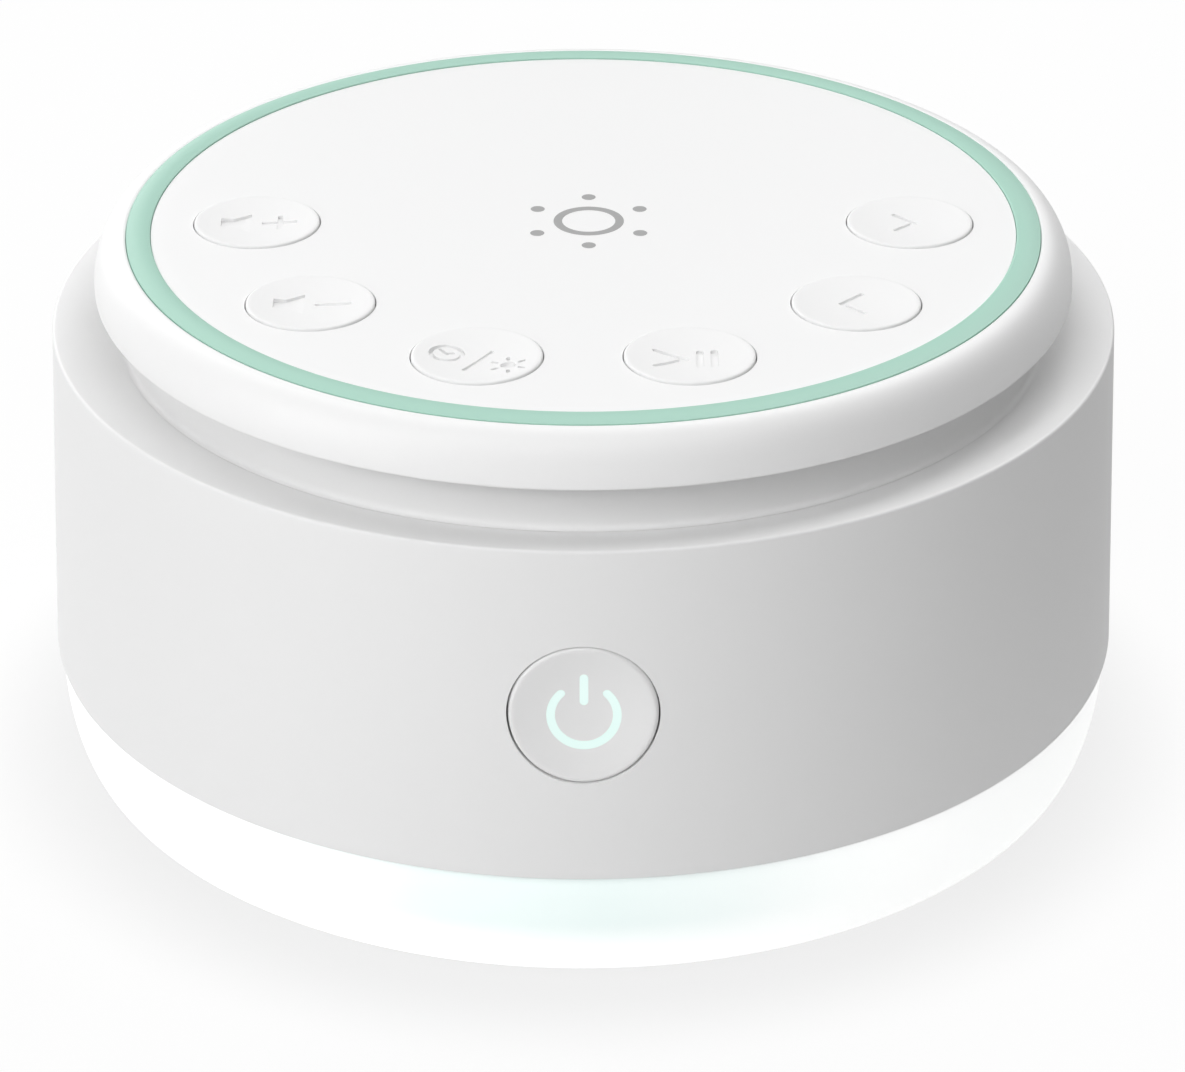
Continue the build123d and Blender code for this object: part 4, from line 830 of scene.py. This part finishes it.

# ---------------------------------------------------------------------------
# Floor: white backdrop paper. The lens sees it near white, greyed a little close to
# the foot by a painted shadow, and it also keeps the soft cast shadow. Behind on the right
# it throws less light back, as if a grey card lay there, so the wall on that side stays dim.
# ---------------------------------------------------------------------------
bpy.ops.object.select_all(action="DESELECT")
bpy.ops.mesh.primitive_plane_add(size=6)
floor = bpy.context.object
place_mesh(floor, (0, 0, -0.02))
floor.name = "floor"
paper = new_material("white_paper_backdrop")
rays = add(paper, "ShaderNodeLightPath", {})
seen = add(paper, "ShaderNodeMath",
           {0: rays.outputs["Is Camera Ray"], 1: rays.outputs["Is Glossy Ray"]},
           operation="MAXIMUM")
shown = add(paper, "ShaderNodeMath",
            {0: seen.outputs[0], 1: rays.outputs["Is Transmission Ray"]}, operation="MAXIMUM")
place = add(paper, "ShaderNodeTexCoord", {})
reach = add(paper, "ShaderNodeVectorMath", {0: place.outputs["Object"]}, operation="LENGTH")
# Painted shadow: the lens sees the paper's lift fall from 0.92 to 0.8 towards the foot.
lift_and_painted_shadow = add(paper, "ShaderNodeMapRange",
            {"Value": reach.outputs["Value"], "From Min": 47 * mm, "From Max": 63 * mm,
             "To Min": 0.8, "To Max": 0.92}, interpolation_type="SMOOTHSTEP")
lift = add(paper, "ShaderNodeEmission",
           {"Color": linear("FFFFFF"), "Strength": lift_and_painted_shadow.outputs[0]})
shadow = add(paper, "ShaderNodeBsdfDiffuse", {"Color": linear("4A4A4A")})
white = add(paper, "ShaderNodeAddShader", {0: shadow.outputs[0], 1: lift.outputs[0]})
card_side = radians(30)
away = add(paper, "ShaderNodeVectorMath",
           {0: place.outputs["Object"], 1: (cos(card_side), sin(card_side), 0)},
           operation="DOT_PRODUCT")
shade = add(paper, "ShaderNodeMapRange",
            {"Value": away.outputs["Value"], "From Min": 30 * mm, "From Max": 130 * mm})
card = add(paper, "ShaderNodeMixRGB",
           {"Fac": shade.outputs[0], "Color1": linear("DEDEDE"), "Color2": linear("808080")})
bounce = add(paper, "ShaderNodeBsdfDiffuse", {"Color": card.outputs[0]})
sheet = add(paper, "ShaderNodeMixShader",
            {0: shown.outputs[0], 1: bounce.outputs[0], 2: white.outputs[0]})
add(paper, "ShaderNodeOutputMaterial", {"Surface": sheet.outputs[0]})
floor.data.materials.append(paper)

# ---------------------------------------------------------------------------
# Studio light: six softboxes round the table in a dim white room, which the lens
# sees as plain white. The low ones on the left light the wall, and the rest the cap.
# ---------------------------------------------------------------------------
room = bpy.data.worlds.new("studio")
bpy.context.scene.world = room
room.use_nodes = True
room.node_tree.nodes.clear()
sight = add(room, "ShaderNodeLightPath", {})
in_view = add(room, "ShaderNodeMath",
              {0: sight.outputs["Is Camera Ray"], 1: sight.outputs["Is Transmission Ray"]},
              operation="MAXIMUM")
brightness = add(room, "ShaderNodeMapRange",
                 {"Value": in_view.outputs[0], "To Min": 0.1, "To Max": 1.0})
walls = add(room, "ShaderNodeBackground",
            {"Color": linear("FFFFFF"), "Strength": brightness.outputs[0]})
add(room, "ShaderNodeOutputWorld", {"Surface": walls.outputs[0]})


softbox_reach, softbox_size = 1.5, 1.0


def softbox(name, azimuth, elevation, power):
    """A softbox turned to the machine; azimuth 0 is the front, negative is left."""
    a, e = radians(azimuth), radians(elevation)
    at = Vector((sin(a) * cos(e), -cos(a) * cos(e), sin(e))) * softbox_reach
    lamp = bpy.data.lights.new(name, "AREA")
    lamp.size = softbox_size
    lamp.energy = power
    holder = bpy.data.objects.new(name, lamp)
    bpy.context.collection.objects.link(holder)
    holder.location = at + Vector((0, 0, 0.03))
    holder.rotation_euler = (-at).to_track_quat("-Z", "Y").to_euler()


softbox("low_left", -60, 18, 8.5)
softbox("front_left", -30, 45, 5.1)
softbox("front_right", 15, 45, 5.65)
softbox("back_right", 150, 45, 8.8)
softbox("high_back_left", -150, 70, 5.5)
softbox("low_back_left", -150, 18, 7.4)

# ---------------------------------------------------------------------------
# Camera: a long lens half a metre in front of the machine, looking down on it at
# 27 degrees, its frame shifted a little so that the machine sits left of the middle.
# ---------------------------------------------------------------------------
camera_data = bpy.data.cameras.new("camera")
camera = bpy.data.objects.new("camera", camera_data)
bpy.context.collection.objects.link(camera)
camera.location = (0, -0.445019, 0.251286)
camera.rotation_euler = (radians(62.558), 0, 0)
camera_data.sensor_width = 36
camera_data.lens = 157.506
camera_data.shift_x = 0.00771
camera_data.clip_start = 0.01
bpy.context.scene.camera = camera
bpy.context.scene.view_settings.view_transform = "Standard"
